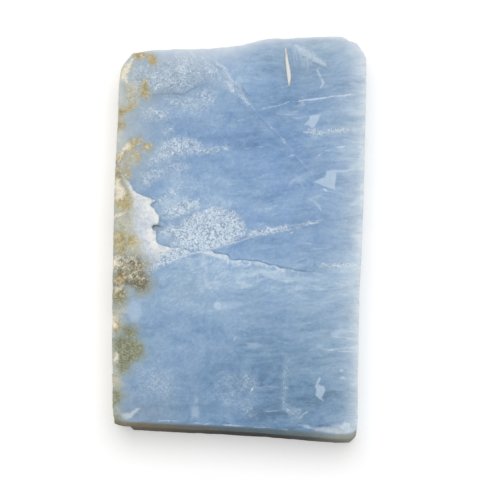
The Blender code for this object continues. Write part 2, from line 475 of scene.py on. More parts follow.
@dataclass(frozen=True)
class Relief:
    """Heights of the broken face and the roughness of the sides, in millimetres.

    Attributes:
        outline: The slab's plan.
        ledge: The ledge across the face.
        top: Height of the unbroken face.
        highest: Height that nothing passes.
        inset: How far the face's rim lies inside the walls.
        seams: Healed cracks that stand out.
        wear: How far the worn edge reaches in, and how deep it is.
        clean_wear: The same for the more worn clean side.
        lumps: The same for the crust's lumps.
        swell: Height of the face's broad swell.
        ripple: Height of its ripples.
        frost_grain: Height of the frost's grains.
        scoop_grain: Roughness of the scoops' floors.
        skin: Roughness of the crust, near, clean and far sides.
        undercut: How far the near corner at the crust is cut in below, from the near side and the crust.
    """

    outline: Outline
    ledge: Ledge
    top: float = 7.93
    highest: float = 7.95
    inset: float = 0.05
    seams: tuple[Seam, ...] = (
        Seam(SAW_SEAM, 0.10, 0.05, 0.22),
        Seam(DIAGONAL_SEAM, 0.04, 0.05, 0.25),
    )
    wear: tuple[float, float] = (1.2, 0.42)
    clean_wear: tuple[float, float] = (4.0, 0.3)
    lumps: tuple[float, float] = (4.5, 0.6)
    swell: float = 0.06
    ripple: float = 0.02
    frost_grain: float = 0.03
    scoop_grain: float = 0.04
    skin: tuple[float, float, float, float] = (0.18, 0.07, 0.06, 0.12)
    undercut: tuple[float, float] = (1.1, 0.9)

    def sides(self, across: Array, along: Array, reach: float) -> dict[str, Array]:
        """Work out how near each point is to each side, as exp(-distance / reach).

        Args:
            across: Shares of the way across the slab.
            along: Shares of the way along it.
            reach: Distance in millimetres over which nearness falls.

        Returns:
            For each side by its name, a number for each point that is 1 on the side itself.
        """
        width, length = self.outline.width, self.outline.length
        return {
            "crust": np.exp(-across * width / reach),
            "clean": np.exp(-(1.0 - across) * width / reach),
            "near": np.exp(-along * length / reach),
            "far": np.exp(-(1.0 - along) * length / reach),
        }

    def border(self, across: Array, along: Array) -> Array:
        """Distance to the nearest side."""
        to_ends = np.minimum(along, 1.0 - along) * self.outline.length
        return np.minimum(np.minimum(across, 1.0 - across) * self.outline.width, to_ends)

    def face(self, across: Array, along: Array, plan: Array, frost: Array) -> Array:
        """Height of the broken face.

        It is the top, less the swell, the worn edges, the crust's lumps and the flake's scar, plus the
        seams and the frost's grains, and it is cut down to each scoop's floor.

        Args:
            across: Shares of the way across the slab.
            along: Shares of the way along it.
            plan: The same points in the plan.
            frost: How frosted each point is, from 0 to 1.

        Returns:
            The height in millimetres for each point.
        """
        flat = on_plane(plan)
        width = self.outline.width
        wear = self.wear[0] * (1.0 + 0.35 * layered(flat, 4.0, 3, 21))
        worn = (1.0 - np.clip(self.border(across, along) / wear, 0.0, 1.0)) ** 2
        drop = (self.wear[1] + 0.14 * layered(flat, 2.2, 3, 22)) * worn
        bare = 1.0 - np.clip((1.0 - across) * width / self.clean_wear[0], 0.0, 1.0)
        drop += self.clean_wear[1] * bare**2
        crusted = 1.0 - np.clip(across * width / self.lumps[0], 0.0, 1.0)
        drop += self.lumps[1] * crusted * np.abs(layered(flat, 2.2, 3, 23))
        swell = self.swell * (1.0 - noise(flat, 12.0, 24)) + self.ripple * (1.0 - layered(flat, 3.0, 3, 25))
        height = self.top - swell - drop - self.ledge.depth(plan)
        height += sum(seam.height(plan) for seam in self.seams)
        height += self.frost_grain * frost * layered(flat, 0.9, 2, 26)
        for scoop in SCOOPS.values():
            floor = scoop.floor(plan) + self.scoop_grain * layered(flat, 0.8, 2, 27)
            height = np.minimum(height, floor)
        return np.clip(height, 0.0, self.highest)

    def roughened(self, places: Array, across: Array, along: Array) -> Array:
        """Push points near the sides inwards by a rough skin, and undercut the near corner at the crust.

        The skin's depth is the side's roughness times layered noise, folded so that it only cuts in.

        Args:
            places: Points in millimetres, one row each.
            across: Shares of the way across the slab.
            along: Shares of the way along it.

        Returns:
            The moved points.
        """
        side = self.sides(across, along, 0.7)
        names = ("crust", "near", "clean", "far")
        rough = sum(depth * side[name] for depth, name in zip(self.skin, names))
        skin = rough * np.abs(layered(places, 2.6, 4, 31))
        moved = places.copy()
        moved[:, 0] += skin * (side["crust"] - side["clean"])
        moved[:, 1] += skin * (side["near"] - side["far"])
        low = smooth(5.4, 3.9, places[:, 2])
        moved[:, 1] += self.undercut[0] * low * side["near"] * smooth(-20.6, -22.2, places[:, 0])
        moved[:, 0] += self.undercut[1] * low * side["crust"] * smooth(-33.5, -35.5, places[:, 1])
        return moved


# Marks on the face


class Tint(Enum):
    """Kinds of growth in the crust."""

    OLIVE = "olive"
    OCHRE = "ochre"
    CREAM = "cream"
    MOSS = "moss"
    SAND = "sand"


@dataclass(frozen=True)
class Frost:
    """A sugary patch of the face.

    Attributes:
        strength: How white it is, from 0 to 1.
        soft: How far its edge fades, in millimetres.
        corners: Corners of its outline in millimetres, in order.
    """

    strength: float
    soft: float
    corners: Places

    def cover(self, plan: Array) -> Array:
        """The strength inside the region, eased to nothing over the soft edge."""
        return self.strength * smooth(-self.soft, self.soft, Region(self.corners).reach(plan))


@dataclass(frozen=True)
class Stroke:
    """A thin mark.

    Attributes:
        corners: Corners of its line in millimetres, in order.
        half_width: Half its width at the middle, in millimetres.
        strength: How strong it is where it starts, from 0 to 1.
        last: How strong it is where it ends.
    """

    corners: Places
    half_width: float
    strength: float
    last: float


@dataclass(frozen=True)
class Pool:
    """A soft round region whose colour departs from the rest.

    Attributes:
        middle: Its middle in the plan.
        radii: Its radii across and along.
        strength: How strong it is in its middle, and below 0 where it works the other way.
    """

    middle: tuple[float, float]
    radii: tuple[float, float]
    strength: float

    def amount(self, plan: Array) -> Array:
        """A bell: strength * exp(-r squared), with r in radii."""
        away = (plan - np.array(self.middle)) / np.array(self.radii)
        return self.strength * np.exp(-(away**2).sum(axis=1))


# Where the marks are
FROSTS: tuple[Frost, ...] = (
    Frost(0.18, 5.0, (
        (-23.5, 33.9), (-17.9, 36.0), (-10.0, 36.4), (-3.7, 33.5), (1.1, 28.6), (1.9, 22.9), (-0.9, 14.7),
        (-5.0, 8.7), (-13.8, 8.3), (-20.7, 12.3), (-22.9, 20.8),
    )),
    Frost(0.12, 4.0, (
        (-20.2, -16.8), (-13.6, -20.7), (-0.1, -22.3), (11.5, -24.2), (12.6, -38.2), (-0.1, -38.2),
        (-20.4, -37.4), (-21.7, -28.9),
    )),
    Frost(0.52, 1.9, (
        (-22.3, 33.9), (-20.7, 35.1), (-17.9, 35.4), (-15.0, 36.2), (-11.0, 36.6), (-8.0, 35.6),
        (-5.0, 33.9), (-2.9, 32.3), (-0.9, 30.2), (-2.5, 30.2), (-5.0, 31.0), (-6.9, 30.6), (-9.6, 29.5),
        (-11.3, 28.5), (-15.3, 28.6), (-17.9, 28.2), (-20.2, 27.4), (-22.6, 28.2), (-23.4, 31.0),
    )),
    Frost(0.46, 2.2, (
        (-15.3, 28.6), (-11.0, 28.2), (-7.0, 29.8), (-3.7, 29.4), (-4.2, 26.1), (-8.0, 24.3), (-12.9, 24.5),
        (-14.9, 26.1),
    )),
    Frost(0.55, 1.9, (
        (-20.0, 24.5), (-18.6, 25.7), (-15.9, 25.7), (-13.5, 25.3), (-13.1, 22.9), (-15.9, 22.4),
        (-18.6, 22.6), (-19.8, 23.3),
    )),
    Frost(0.62, 1.6, (
        (-19.1, 14.1), (-18.1, 16.1), (-15.8, 17.8), (-13.5, 19.0), (-10.9, 19.1), (-8.3, 18.6),
        (-5.7, 18.1), (-1.7, 17.8), (-2.4, 16.8), (-5.7, 16.1), (-10.3, 15.9), (-13.5, 15.2), (-16.8, 14.2),
        (-18.8, 13.5),
    )),
    Frost(0.5, 0.8, (
        (-16.2, 20.0), (-14.7, 21.0), (-13.1, 21.4), (-12.7, 20.6), (-14.3, 19.8), (-15.8, 19.2),
    )),
    Frost(0.56, 1.5, (
        (-21.1, 10.5), (-20.1, 12.5), (-17.8, 13.9), (-14.6, 14.7), (-11.1, 15.3), (-9.9, 14.5),
        (-10.7, 13.3), (-13.8, 12.3), (-17.0, 11.1), (-18.9, 9.9), (-20.3, 8.7),
    )),
    Frost(0.8, 1.3, (
        (-15.9, 3.7), (-15.0, 5.3), (-13.4, 6.3), (-11.1, 6.8), (-8.7, 7.0), (-8.7, 5.5), (-11.1, 4.0),
        (-14.0, 3.2),
    )),
    Frost(0.68, 1.4, ((-16.9, 7.3), (-13.8, 8.9), (-11.7, 10.1), (-11.5, 9.3), (-13.4, 7.5), (-15.8, 6.3))),
    Frost(0.88, 1.1, (
        (-12.1, -2.1), (-12.5, -0.1), (-11.4, 2.4), (-9.1, 4.5), (-6.0, 5.8), (-3.2, 5.3), (-1.3, 4.4),
        (0.5, 2.4), (1.3, 0.3), (0.9, -1.0), (-1.1, -1.8), (-3.5, -2.6), (-5.4, -3.0), (-8.4, -3.3),
        (-11.0, -3.1),
    )),
    Frost(0.74, 1.1, (
        (-16.1, 0.7), (-14.9, 1.1), (-13.4, 1.9), (-11.6, 1.5), (-11.6, -2.9), (-13.8, -2.4), (-13.0, -0.9),
        (-15.6, -0.5),
    )),
    Frost(0.6, 0.6, (
        (1.1, -0.9), (1.9, 0.5), (4.2, 1.3), (6.7, 1.8), (9.5, 2.2), (9.9, 0.9), (6.7, 0.3), (3.8, -0.5),
        (1.3, -1.2),
    )),
    Frost(0.46, 0.4, ((9.5, 1.8), (12.6, 2.2), (12.6, 1.6), (9.5, 1.1))),
    Frost(0.66, 0.4, ((12.6, 1.8), (13.4, 2.4), (15.5, 2.9), (15.7, 2.4), (14.0, 1.8), (12.8, 1.4))),
    Frost(0.42, 0.4, ((17.5, 2.5), (20.9, 2.3), (20.9, 1.9), (17.5, 2.1))),
    Frost(0.78, 0.6, (
        (-21.9, -7.5), (-18.2, -3.5), (-16.3, -2.3), (-11.6, -3.4), (-8.3, -3.8), (-9.7, -4.4),
        (-12.8, -5.3), (-15.6, -6.3), (-18.4, -7.7),
    )),
    Frost(0.68, 0.6, (
        (12.5, 21.2), (14.9, 21.0), (17.6, 20.6), (19.6, 21.0), (22.0, 21.2), (22.0, 20.4), (19.6, 19.8),
        (16.6, 19.7), (14.1, 19.5), (12.5, 20.2),
    )),
    Frost(1.0, 0.6, (
        (15.3, -5.9), (17.8, -5.8), (20.3, -5.9), (22.7, -6.2), (22.7, -6.7), (20.3, -6.7), (17.8, -6.5),
        (15.3, -6.4),
    )),
    Frost(0.32, 1.8, (
        (-5.3, -27.4), (0.9, -26.4), (4.1, -27.7), (4.3, -36.3), (1.4, -37.0), (-3.0, -33.2), (-5.3, -30.9),
    )),
    Frost(0.34, 0.8, (
        (7.9, -20.1), (9.2, -24.4), (9.5, -33.6), (11.4, -34.7), (12.0, -37.6), (9.1, -38.0), (7.9, -34.0),
    )),
    Frost(0.26, 0.5, ((12.8, -36.1), (14.5, -36.1), (14.5, -37.2), (12.8, -37.2))),
    Frost(0.32, 3.2, (
        (-21.9, -26.2), (-16.5, -25.0), (-12.1, -27.4), (-11.2, -33.2), (-15.5, -34.0), (-21.1, -32.8),
    )),
    Frost(0.36, 0.5, ((11.6, 28.0), (12.8, 28.2), (12.7, 25.5), (11.6, 25.5))),
    Frost(0.52, 0.9, (
        (-3.7, 32.9), (-1.9, 31.6), (0.1, 29.2), (1.9, 26.3), (1.1, 26.1), (-0.7, 27.6), (-2.7, 29.4),
        (-3.7, 31.0),
    )),
    Frost(0.5, 0.9, (
        (-10.0, 36.9), (-8.0, 36.0), (-5.2, 34.5), (-2.9, 32.9), (-4.1, 32.3), (-6.8, 33.9), (-9.4, 35.4),
    )),
    Frost(0.3, 1.6, (
        (1.9, 25.7), (4.2, 23.5), (8.4, 18.6), (9.7, 16.8), (7.8, 16.8), (4.2, 20.6), (1.7, 23.3),
    )),
    Frost(0.36, 0.5, ((12.8, -4.5), (14.7, -4.7), (14.5, -6.5), (12.7, -6.5))),
)
SCAR = Region((
    (-22.9, 11.3), (-21.7, 9.9), (-20.9, 8.5), (-18.7, 7.5), (-17.3, 6.5), (-17.5, 5.7), (-16.3, 4.3),
    (-15.9, 3.1), (-16.1, 1.5), (-16.5, 0.3), (-16.5, -1.7), (-15.1, -2.7), (-14.5, -3.7), (-16.1, -5.1),
    (-18.0, -6.5), (-19.4, -6.9), (-19.6, -4.9), (-21.3, -3.7), (-21.2, -1.3), (-21.6, 0.7), (-21.6, 3.9),
    (-21.2, 5.9), (-21.4, 7.9), (-22.2, 9.5),
))
SLOT = Region((
    (-17.3, 1.2), (-17.2, 1.7), (-16.5, 1.8), (-15.5, 1.8), (-14.8, 1.3), (-15.3, 0.8), (-16.1, 0.8),
    (-16.6, 0.5), (-17.1, 0.7),
))
SLIT = Region((
    (8.8, 37.8), (9.1, 37.8), (9.3, 36.4), (9.5, 35.1), (9.8, 33.5), (10.0, 32.1), (9.9, 30.8), (9.6, 29.6),
    (9.4, 30.6), (9.2, 32.3), (9.0, 34.1), (8.9, 36.2),
))
PATCHES: tuple[Region, ...] = (
    Region((
        (15.7, 24.1), (15.4, 22.9), (14.7, 21.6), (14.2, 21.3), (13.2, 21.8), (12.3, 21.8), (13.5, 23.1),
        (13.7, 23.8),
    )),
    Region((
        (14.1, 10.3), (16.6, 11.4), (16.8, 12.6), (18.8, 12.8), (20.5, 12.8), (22.5, 13.3), (22.2, 12.8),
        (20.5, 12.3), (18.8, 12.1), (18.6, 8.8), (16.6, 9.4),
    )),
    Region((
        (14.6, -29.5), (15.2, -28.1), (15.5, -28.5), (15.1, -29.6), (16.1, -30.1), (16.3, -30.9),
        (15.7, -32.2), (16.1, -33.2), (15.1, -32.5), (14.4, -31.8), (14.6, -30.8), (14.3, -30.1),
    )),
    Region(((19.1, -28.5), (19.9, -28.1), (20.6, -28.8), (20.1, -28.8), (19.4, -28.7))),
    Region(((19.1, -26.9), (19.9, -26.8), (19.8, -27.3), (19.3, -27.4))),
    Region(((-5.2, -14.4), (-5.0, -13.7), (-4.1, -13.6), (-3.5, -14.2), (-3.7, -15.0), (-4.8, -15.1))),
)
FAINT_PATCHES: tuple[Region, ...] = (
    Region(((10.9, -8.7), (12.3, -8.5), (13.8, -8.7), (13.7, -10.3), (12.1, -10.1), (11.0, -9.5))),
    Region(((17.3, -19.9), (18.5, -19.0), (19.4, -18.6), (20.4, -19.3), (19.2, -20.0), (18.1, -20.4))),
    Region(((-9.1, -32.8), (-8.8, -32.2), (-8.3, -32.2), (-8.0, -32.8), (-8.4, -33.4), (-8.9, -33.4))),
    Region(((-9.5, -34.0), (-8.1, -34.0), (-7.9, -36.3), (-9.5, -36.3))),
    Region((
        (-21.8, -13.8), (-20.7, -13.0), (-19.5, -14.0), (-19.1, -15.8), (-19.9, -17.6), (-21.2, -17.6),
        (-22.0, -15.8),
    )),
    Region(((-3.6, -13.7), (-0.1, -13.5), (0.9, -14.2), (-0.9, -14.9), (-3.4, -14.9))),
    Region(((1.2, -21.7), (3.0, -21.5), (4.2, -22.3), (3.0, -22.9), (1.6, -22.7))),
    Region(((14.6, -21.9), (15.8, -21.9), (15.7, -22.6), (14.8, -22.6))),
)
CHIPS: tuple[Region, ...] = (
    Region((
        (11.2, -37.6), (12.6, -37.7), (15.6, -38.0), (19.1, -37.6), (20.1, -36.9), (21.0, -37.4),
        (21.3, -38.6), (20.6, -39.5), (18.7, -39.4), (15.6, -38.8), (12.9, -38.3),
    )),
    Region((
        (-23.1, -35.6), (-22.6, -35.4), (-22.0, -35.3), (-21.4, -35.4), (-20.9, -35.0), (-20.1, -34.5),
        (-19.4, -34.3), (-19.8, -34.9), (-20.4, -35.7), (-21.0, -36.3), (-22.0, -36.7), (-22.9, -36.3),
    )),
    Region((
        (-7.7, -3.6), (-5.8, -3.2), (-5.0, -3.9), (-3.8, -4.2), (-2.5, -4.4), (-2.2, -5.4), (-3.8, -5.1),
        (-5.5, -4.7),
    )),
)
STROKES: tuple[Stroke, ...] = (
    Stroke(SAW_SEAM.corners, 0.15, 0.9, 0.2),
    Stroke(DIAGONAL_SEAM.corners, 0.15, 0.34, 0.04),
    Stroke(((-8.0, 36.1), (-7.2, 35.4), (-6.5, 34.7)), 0.16, 0.75, 0.55),
    Stroke(((-4.9, 34.7), (-3.8, 34.0), (-2.5, 33.2)), 0.3, 0.75, 0.65),
    Stroke(((-3.6, 33.1), (-2.8, 32.3), (-2.1, 31.4), (-1.2, 30.5)), 0.36, 0.66, 0.56),
    Stroke(((-2.4, 30.2), (-1.8, 29.6), (-1.3, 28.8)), 0.4, 0.55, 0.45),
    Stroke(((-1.0, 30.9), (-0.4, 30.2), (0.1, 29.5)), 0.24, 0.65, 0.5),
    Stroke(((0.1, 27.8), (0.9, 27.0), (1.8, 26.2)), 0.22, 0.5, 0.6),
    Stroke(((-10.0, 37.0), (-9.3, 36.2), (-8.7, 35.2)), 0.3, 0.5, 0.4),
    Stroke(((5.4, 22.4), (6.0, 21.5), (6.2, 21.1)), 0.2, 0.45, 0.7),
    Stroke(((7.8, 19.6), (8.5, 18.7), (8.8, 18.1)), 0.26, 0.5, 0.55),
    Stroke(((10.8, 38.1), (12.2, 37.4), (13.7, 36.3), (15.2, 35.0)), 0.95, 0.62, 0.46),
    Stroke(((14.0, 36.2), (15.6, 35.0), (16.9, 33.9)), 0.6, 0.56, 0.42),
    Stroke(((11.4, 37.6), (12.2, 35.8), (12.4, 33.9)), 0.38, 0.44, 0.16),
    Stroke(((12.6, 36.6), (13.4, 34.7), (13.4, 32.9)), 0.35, 0.42, 0.16),
    Stroke(((10.2, 38.2), (10.6, 36.2), (10.8, 33.9)), 0.28, 0.28, 0.1),
    Stroke(((9.3, 9.3), (10.1, 10.5), (11.1, 11.1), (11.9, 10.1), (12.4, 9.1)), 0.34, 0.2, 0.14),
    Stroke(((15.2, 33.3), (15.6, 32.3), (15.8, 31.6), (16.5, 30.5), (15.9, 29.5)), 0.3, 0.55, 0.4),
    Stroke(((11.5, 26.7), (12.7, 26.9), (14.1, 27.1), (15.7, 27.3), (17.1, 27.5)), 0.19, 0.9, 0.75),
    Stroke(((17.1, 27.5), (19.7, 27.8), (21.2, 28.0), (22.9, 28.1)), 0.15, 0.65, 0.9),
    Stroke(((4.3, 25.3), (5.6, 25.4), (7.0, 25.8)), 0.16, 0.7, 0.45),
    Stroke(((7.0, 25.8), (8.4, 26.2), (9.8, 26.7)), 0.12, 0.45, 0.55),
    Stroke(((18.9, 17.3), (19.8, 17.4), (20.6, 17.6)), 0.15, 0.8, 0.95),
    Stroke(((16.5, 16.6), (17.6, 16.7)), 0.15, 0.7, 0.7),
    Stroke(((22.0, 18.4), (23.1, 18.0)), 0.18, 0.55, 0.55),
    Stroke(((15.2, 15.7), (15.7, 15.9)), 0.18, 0.7, 0.7),
    Stroke(((9.4, 15.5), (10.9, 15.7)), 0.16, 0.5, 0.6),
    Stroke(((3.7, 17.5), (4.4, 17.6)), 0.13, 0.5, 0.5),
    Stroke(((0.9, 17.2), (1.8, 17.3)), 0.13, 0.4, 0.5),
    Stroke(((9.6, 0.1), (10.2, 0.3)), 0.16, 0.6, 0.6),
    Stroke(((16.3, 8.9), (17.1, 8.6)), 0.22, 0.75, 0.6),
    Stroke(((12.0, -1.9), (13.0, -2.0), (14.1, -2.2)), 0.22, 0.25, 0.35),
    Stroke(((13.2, 7.2), (14.5, 6.3), (15.3, 5.4), (15.6, 4.8)), 0.22, 0.14, 0.42),
    Stroke(((11.4, 15.1), (12.7, 13.5), (13.9, 12.1)), 0.16, 0.28, 0.12),
    Stroke(((16.3, -23.1), (18.8, -22.8), (20.4, -22.6), (22.5, -22.6)), 0.16, 0.3, 0.7),
    Stroke(((18.1, -20.5), (20.0, -20.6), (22.3, -21.0)), 0.2, 0.25, 0.6),
    Stroke(((15.7, -22.9), (16.9, -23.0), (17.9, -23.1)), 0.14, 0.3, 0.7),
    Stroke(((18.8, -23.4), (20.8, -23.3), (22.6, -23.2)), 0.17, 0.4, 0.75),
    Stroke(((20.0, -19.4), (21.2, -19.3), (22.4, -19.4)), 0.14, 0.3, 0.6),
    Stroke(((3.2, -30.4), (5.3, -30.2), (7.6, -30.3)), 0.14, 0.25, 0.25),
    Stroke(((4.5, -34.9), (5.9, -35.0), (7.2, -34.9)), 0.13, 0.25, 0.3),
    Stroke(((6.5, -21.5), (8.0, -21.4), (9.2, -21.7)), 0.13, 0.2, 0.25),
    Stroke(((2.1, -31.1), (2.3, -30.6), (2.6, -30.1)), 0.2, 1.0, 0.95),
    Stroke(((10.9, -36.7), (11.8, -35.9), (12.9, -34.9)), 0.16, 0.3, 0.55),
    Stroke(((-1.3, -21.2), (-0.9, -20.4), (-0.4, -20.7)), 0.2, 0.5, 0.5),
    Stroke(((-15.8, -36.8), (-14.5, -36.8), (-13.5, -36.9)), 0.12, 0.4, 0.7),
    Stroke(((-13.2, -36.9), (-12.0, -36.9)), 0.1, 0.6, 0.4),
    Stroke(((-9.1, -37.2), (-7.8, -37.3)), 0.11, 0.35, 0.5),
    Stroke(((-7.2, -37.4), (-5.7, -37.4)), 0.12, 0.5, 0.4),
    Stroke(((-3.2, -37.6), (-1.6, -37.7), (0.5, -37.8)), 0.15, 0.7, 0.55),
    Stroke(((2.6, -38.0), (4.1, -38.1), (6.0, -38.2)), 0.11, 0.45, 0.35),
    Stroke(((7.8, -38.4), (9.1, -38.5)), 0.12, 0.5, 0.5),
)
# Thin dark lines; the last two, just beyond the ledge's crest by the pit, are painted shadow lines
SHADES: tuple[Stroke, ...] = (
    Stroke((
        (-5.5, 34.4), (-4.5, 33.7), (-3.2, 32.7), (-2.1, 31.1), (-0.3, 29.3), (1.1, 27.9), (2.2, 26.9),
    ), 0.15, 0.5, 0.26),
    Stroke(((-0.5, 30.5), (0.7, 29.0), (1.9, 27.8)), 0.13, 0.35, 0.45),
    Stroke((
        (-17.9, 28.0), (-15.3, 28.4), (-12.9, 28.3), (-11.3, 28.2), (-9.6, 29.3), (-6.9, 30.5),
    ), 0.22, 0.55, 0.3),
    Stroke(((14.5, 34.6), (15.6, 34.1), (17.2, 33.6)), 0.24, 0.5, 0.35),
    Stroke(((13.9, 32.1), (15.1, 31.8), (16.7, 31.6)), 0.2, 0.35, 0.25),
    Stroke(((10.0, 36.8), (10.4, 35.1), (10.6, 33.1)), 0.2, 0.3, 0.2),
    Stroke(((-16.2, 6.8), (-15.8, 5.5), (-15.2, 4.1)), 0.3, 0.35, 0.25),
    Stroke(((-15.7, 2.9), (-14.9, 2.3), (-14.2, 1.9)), 0.24, 0.4, 0.3),
)
OLIVE: tuple[Region, ...] = (
    Region((
        (-21.3, 36.7), (-19.5, 37.0), (-17.8, 36.9), (-16.9, 36.0), (-16.9, 34.2), (-18.0, 34.1),
        (-18.5, 35.3), (-19.1, 35.8), (-20.0, 35.3), (-20.9, 35.3), (-21.5, 35.7),
    )),
    Region(((-23.7, 32.8), (-22.7, 33.7), (-21.7, 34.3), (-21.8, 33.9), (-22.7, 33.1), (-23.6, 32.3))),
    Region(((-19.4, 31.1), (-18.4, 30.6), (-18.1, 28.8), (-18.6, 27.6), (-19.8, 27.9), (-19.8, 29.5))),
    Region((
        (-24.1, 25.5), (-23.0, 25.4), (-22.0, 26.1), (-21.0, 26.4), (-21.2, 25.2), (-22.3, 24.3),
        (-23.4, 23.7), (-24.1, 23.4),
    )),
    Region(((-24.3, 23.0), (-23.2, 22.7), (-22.4, 22.0), (-22.8, 21.1), (-24.3, 21.0))),
    Region((
        (-22.1, 18.2), (-21.8, 19.2), (-20.6, 19.7), (-19.4, 19.6), (-19.6, 18.6), (-20.4, 18.3),
        (-20.8, 17.6), (-21.0, 16.4), (-21.7, 16.8),
    )),
    Region(((-19.1, 18.2), (-18.2, 18.3), (-17.2, 17.5), (-17.7, 16.7), (-18.8, 16.7), (-19.3, 17.5))),
    Region(((-20.8, 16.1), (-19.9, 16.4), (-19.6, 15.4), (-20.2, 14.5))),
    Region(((-22.7, 12.8), (-21.5, 13.0), (-21.4, 11.4), (-22.3, 11.0))),
    Region((
        (-24.3, 6.9), (-22.7, 7.6), (-21.5, 7.2), (-21.2, 6.0), (-21.9, 4.8), (-23.7, 4.6), (-24.4, 5.8),
    )),
    Region((
        (-24.4, 0.0), (-23.0, 0.3), (-22.2, -0.5), (-20.8, -0.3), (-20.2, -1.6), (-21.0, -2.5),
        (-22.1, -2.4), (-22.2, -3.2), (-22.4, -4.6), (-23.8, -4.6), (-24.6, -2.7), (-24.6, -0.9),
    )),
    Region((
        (-24.6, -10.5), (-23.1, -10.5), (-22.1, -11.5), (-22.3, -12.7), (-23.5, -13.6), (-24.5, -13.4),
    )),
    Region((
        (-22.7, -18.5), (-21.2, -18.3), (-20.1, -19.1), (-20.2, -20.5), (-21.4, -20.7), (-22.5, -20.0),
    )),
    Region((
        (-24.1, -20.9), (-22.9, -20.2), (-21.7, -20.7), (-20.2, -21.0), (-19.0, -22.0), (-18.8, -23.6),
        (-19.8, -24.9), (-21.3, -25.7), (-21.9, -27.1), (-23.0, -27.4), (-23.7, -26.2), (-24.0, -23.3),
    )),
    Region(((-24.5, -30.9), (-23.4, -31.0), (-22.9, -32.1), (-23.4, -33.2), (-24.4, -33.4))),
    Region((
        (-24.5, -36.1), (-24.0, -35.9), (-23.7, -36.7), (-22.4, -37.4), (-22.4, -38.0), (-23.4, -38.0),
        (-24.5, -37.2),
    )),
)
OCHRE: tuple[Region, ...] = (
    Region(((-21.1, 36.5), (-19.7, 36.8), (-19.5, 36.1), (-20.1, 35.6), (-20.9, 35.6))),
    Region(((-18.5, 36.1), (-17.6, 36.4), (-17.0, 35.6), (-17.1, 34.5), (-17.8, 34.5), (-18.4, 35.5))),
    Region(((-19.0, 30.6), (-18.6, 30.1), (-18.5, 29.0), (-18.9, 28.2), (-19.3, 28.7), (-19.2, 29.6))),
    Region((
        (-24.1, 24.9), (-23.0, 24.9), (-22.0, 25.8), (-21.5, 26.1), (-21.6, 25.4), (-22.6, 24.6),
        (-24.0, 24.0),
    )),
    Region((
        (-22.0, 18.1), (-21.8, 17.0), (-22.5, 16.1), (-23.4, 15.0), (-24.0, 14.6), (-24.0, 15.4),
        (-23.5, 16.4), (-22.8, 17.4),
    )),
    Region((
        (-24.3, 13.9), (-23.6, 13.0), (-23.3, 11.5), (-22.6, 10.6), (-21.9, 9.0), (-21.4, 7.5),
        (-22.2, 7.5), (-22.9, 9.1), (-23.6, 10.5), (-24.4, 11.4), (-24.5, 12.8),
    )),
    Region(((-24.2, -7.7), (-23.4, -7.3), (-22.5, -8.0), (-22.6, -9.5), (-23.8, -9.9), (-24.3, -9.1))),
    Region((
        (-24.6, -17.1), (-24.0, -17.2), (-23.2, -18.0), (-23.0, -18.7), (-23.8, -19.2), (-24.6, -18.9),
    )),
    Region(((-24.6, -10.9), (-23.9, -10.9), (-23.5, -11.7), (-24.1, -12.6), (-24.6, -12.2))),
)
CREAM: tuple[Region, ...] = (
    Region((
        (-21.3, 35.4), (-21.9, 34.1), (-22.1, 32.7), (-22.5, 30.9), (-23.8, 30.9), (-24.0, 32.7),
        (-22.9, 34.4), (-21.6, 35.6),
    )),
    Region(((-24.5, 10.9), (-23.6, 10.9), (-22.9, 9.2), (-22.7, 8.1), (-23.4, 7.0), (-24.6, 6.7))),
    Region(((-22.8, 17.6), (-22.2, 18.1), (-22.1, 17.6), (-22.8, 16.7), (-23.2, 16.4))),
    Region((
        (-24.9, -16.2), (-24.2, -16.3), (-24.3, -17.2), (-23.8, -17.9), (-24.1, -18.7), (-24.8, -18.7),
    )),
    Region(((-24.8, -23.7), (-23.8, -23.6), (-23.5, -24.5), (-24.0, -25.2), (-24.8, -25.1))),
    Region(((-24.6, -5.8), (-23.9, -5.5), (-23.2, -6.1), (-23.6, -6.8), (-24.5, -6.7))),
    Region(((-22.5, -5.3), (-21.9, -5.0), (-21.6, -5.7), (-22.2, -6.1))),
    Region(((-24.6, -10.6), (-23.9, -10.3), (-23.5, -10.9), (-24.4, -11.4))),
    Region(((-24.6, 3.9), (-23.4, 4.0), (-22.6, 4.3), (-22.7, 4.0), (-23.8, 3.4), (-24.6, 3.3))),
)
MOSS: tuple[Region, ...] = (
    Region(((-24.1, 15.4), (-23.6, 15.7), (-23.5, 14.6), (-24.1, 14.2))),
    Region(((-24.4, 12.7), (-24.0, 12.7), (-23.6, 11.2), (-23.9, 10.5), (-24.4, 11.3))),
    Region((
        (-24.5, -4.9), (-22.3, -4.8), (-19.8, -5.1), (-18.4, -6.2), (-18.7, -7.4), (-18.0, -8.4),
        (-17.6, -9.7), (-17.9, -11.2), (-19.4, -11.6), (-20.6, -10.5), (-21.8, -10.3), (-22.7, -10.5),
        (-23.5, -11.1), (-24.6, -10.7),
    )),
    Region(((-23.4, -11.1), (-22.5, -11.2), (-22.4, -12.2), (-23.2, -12.9))),
)
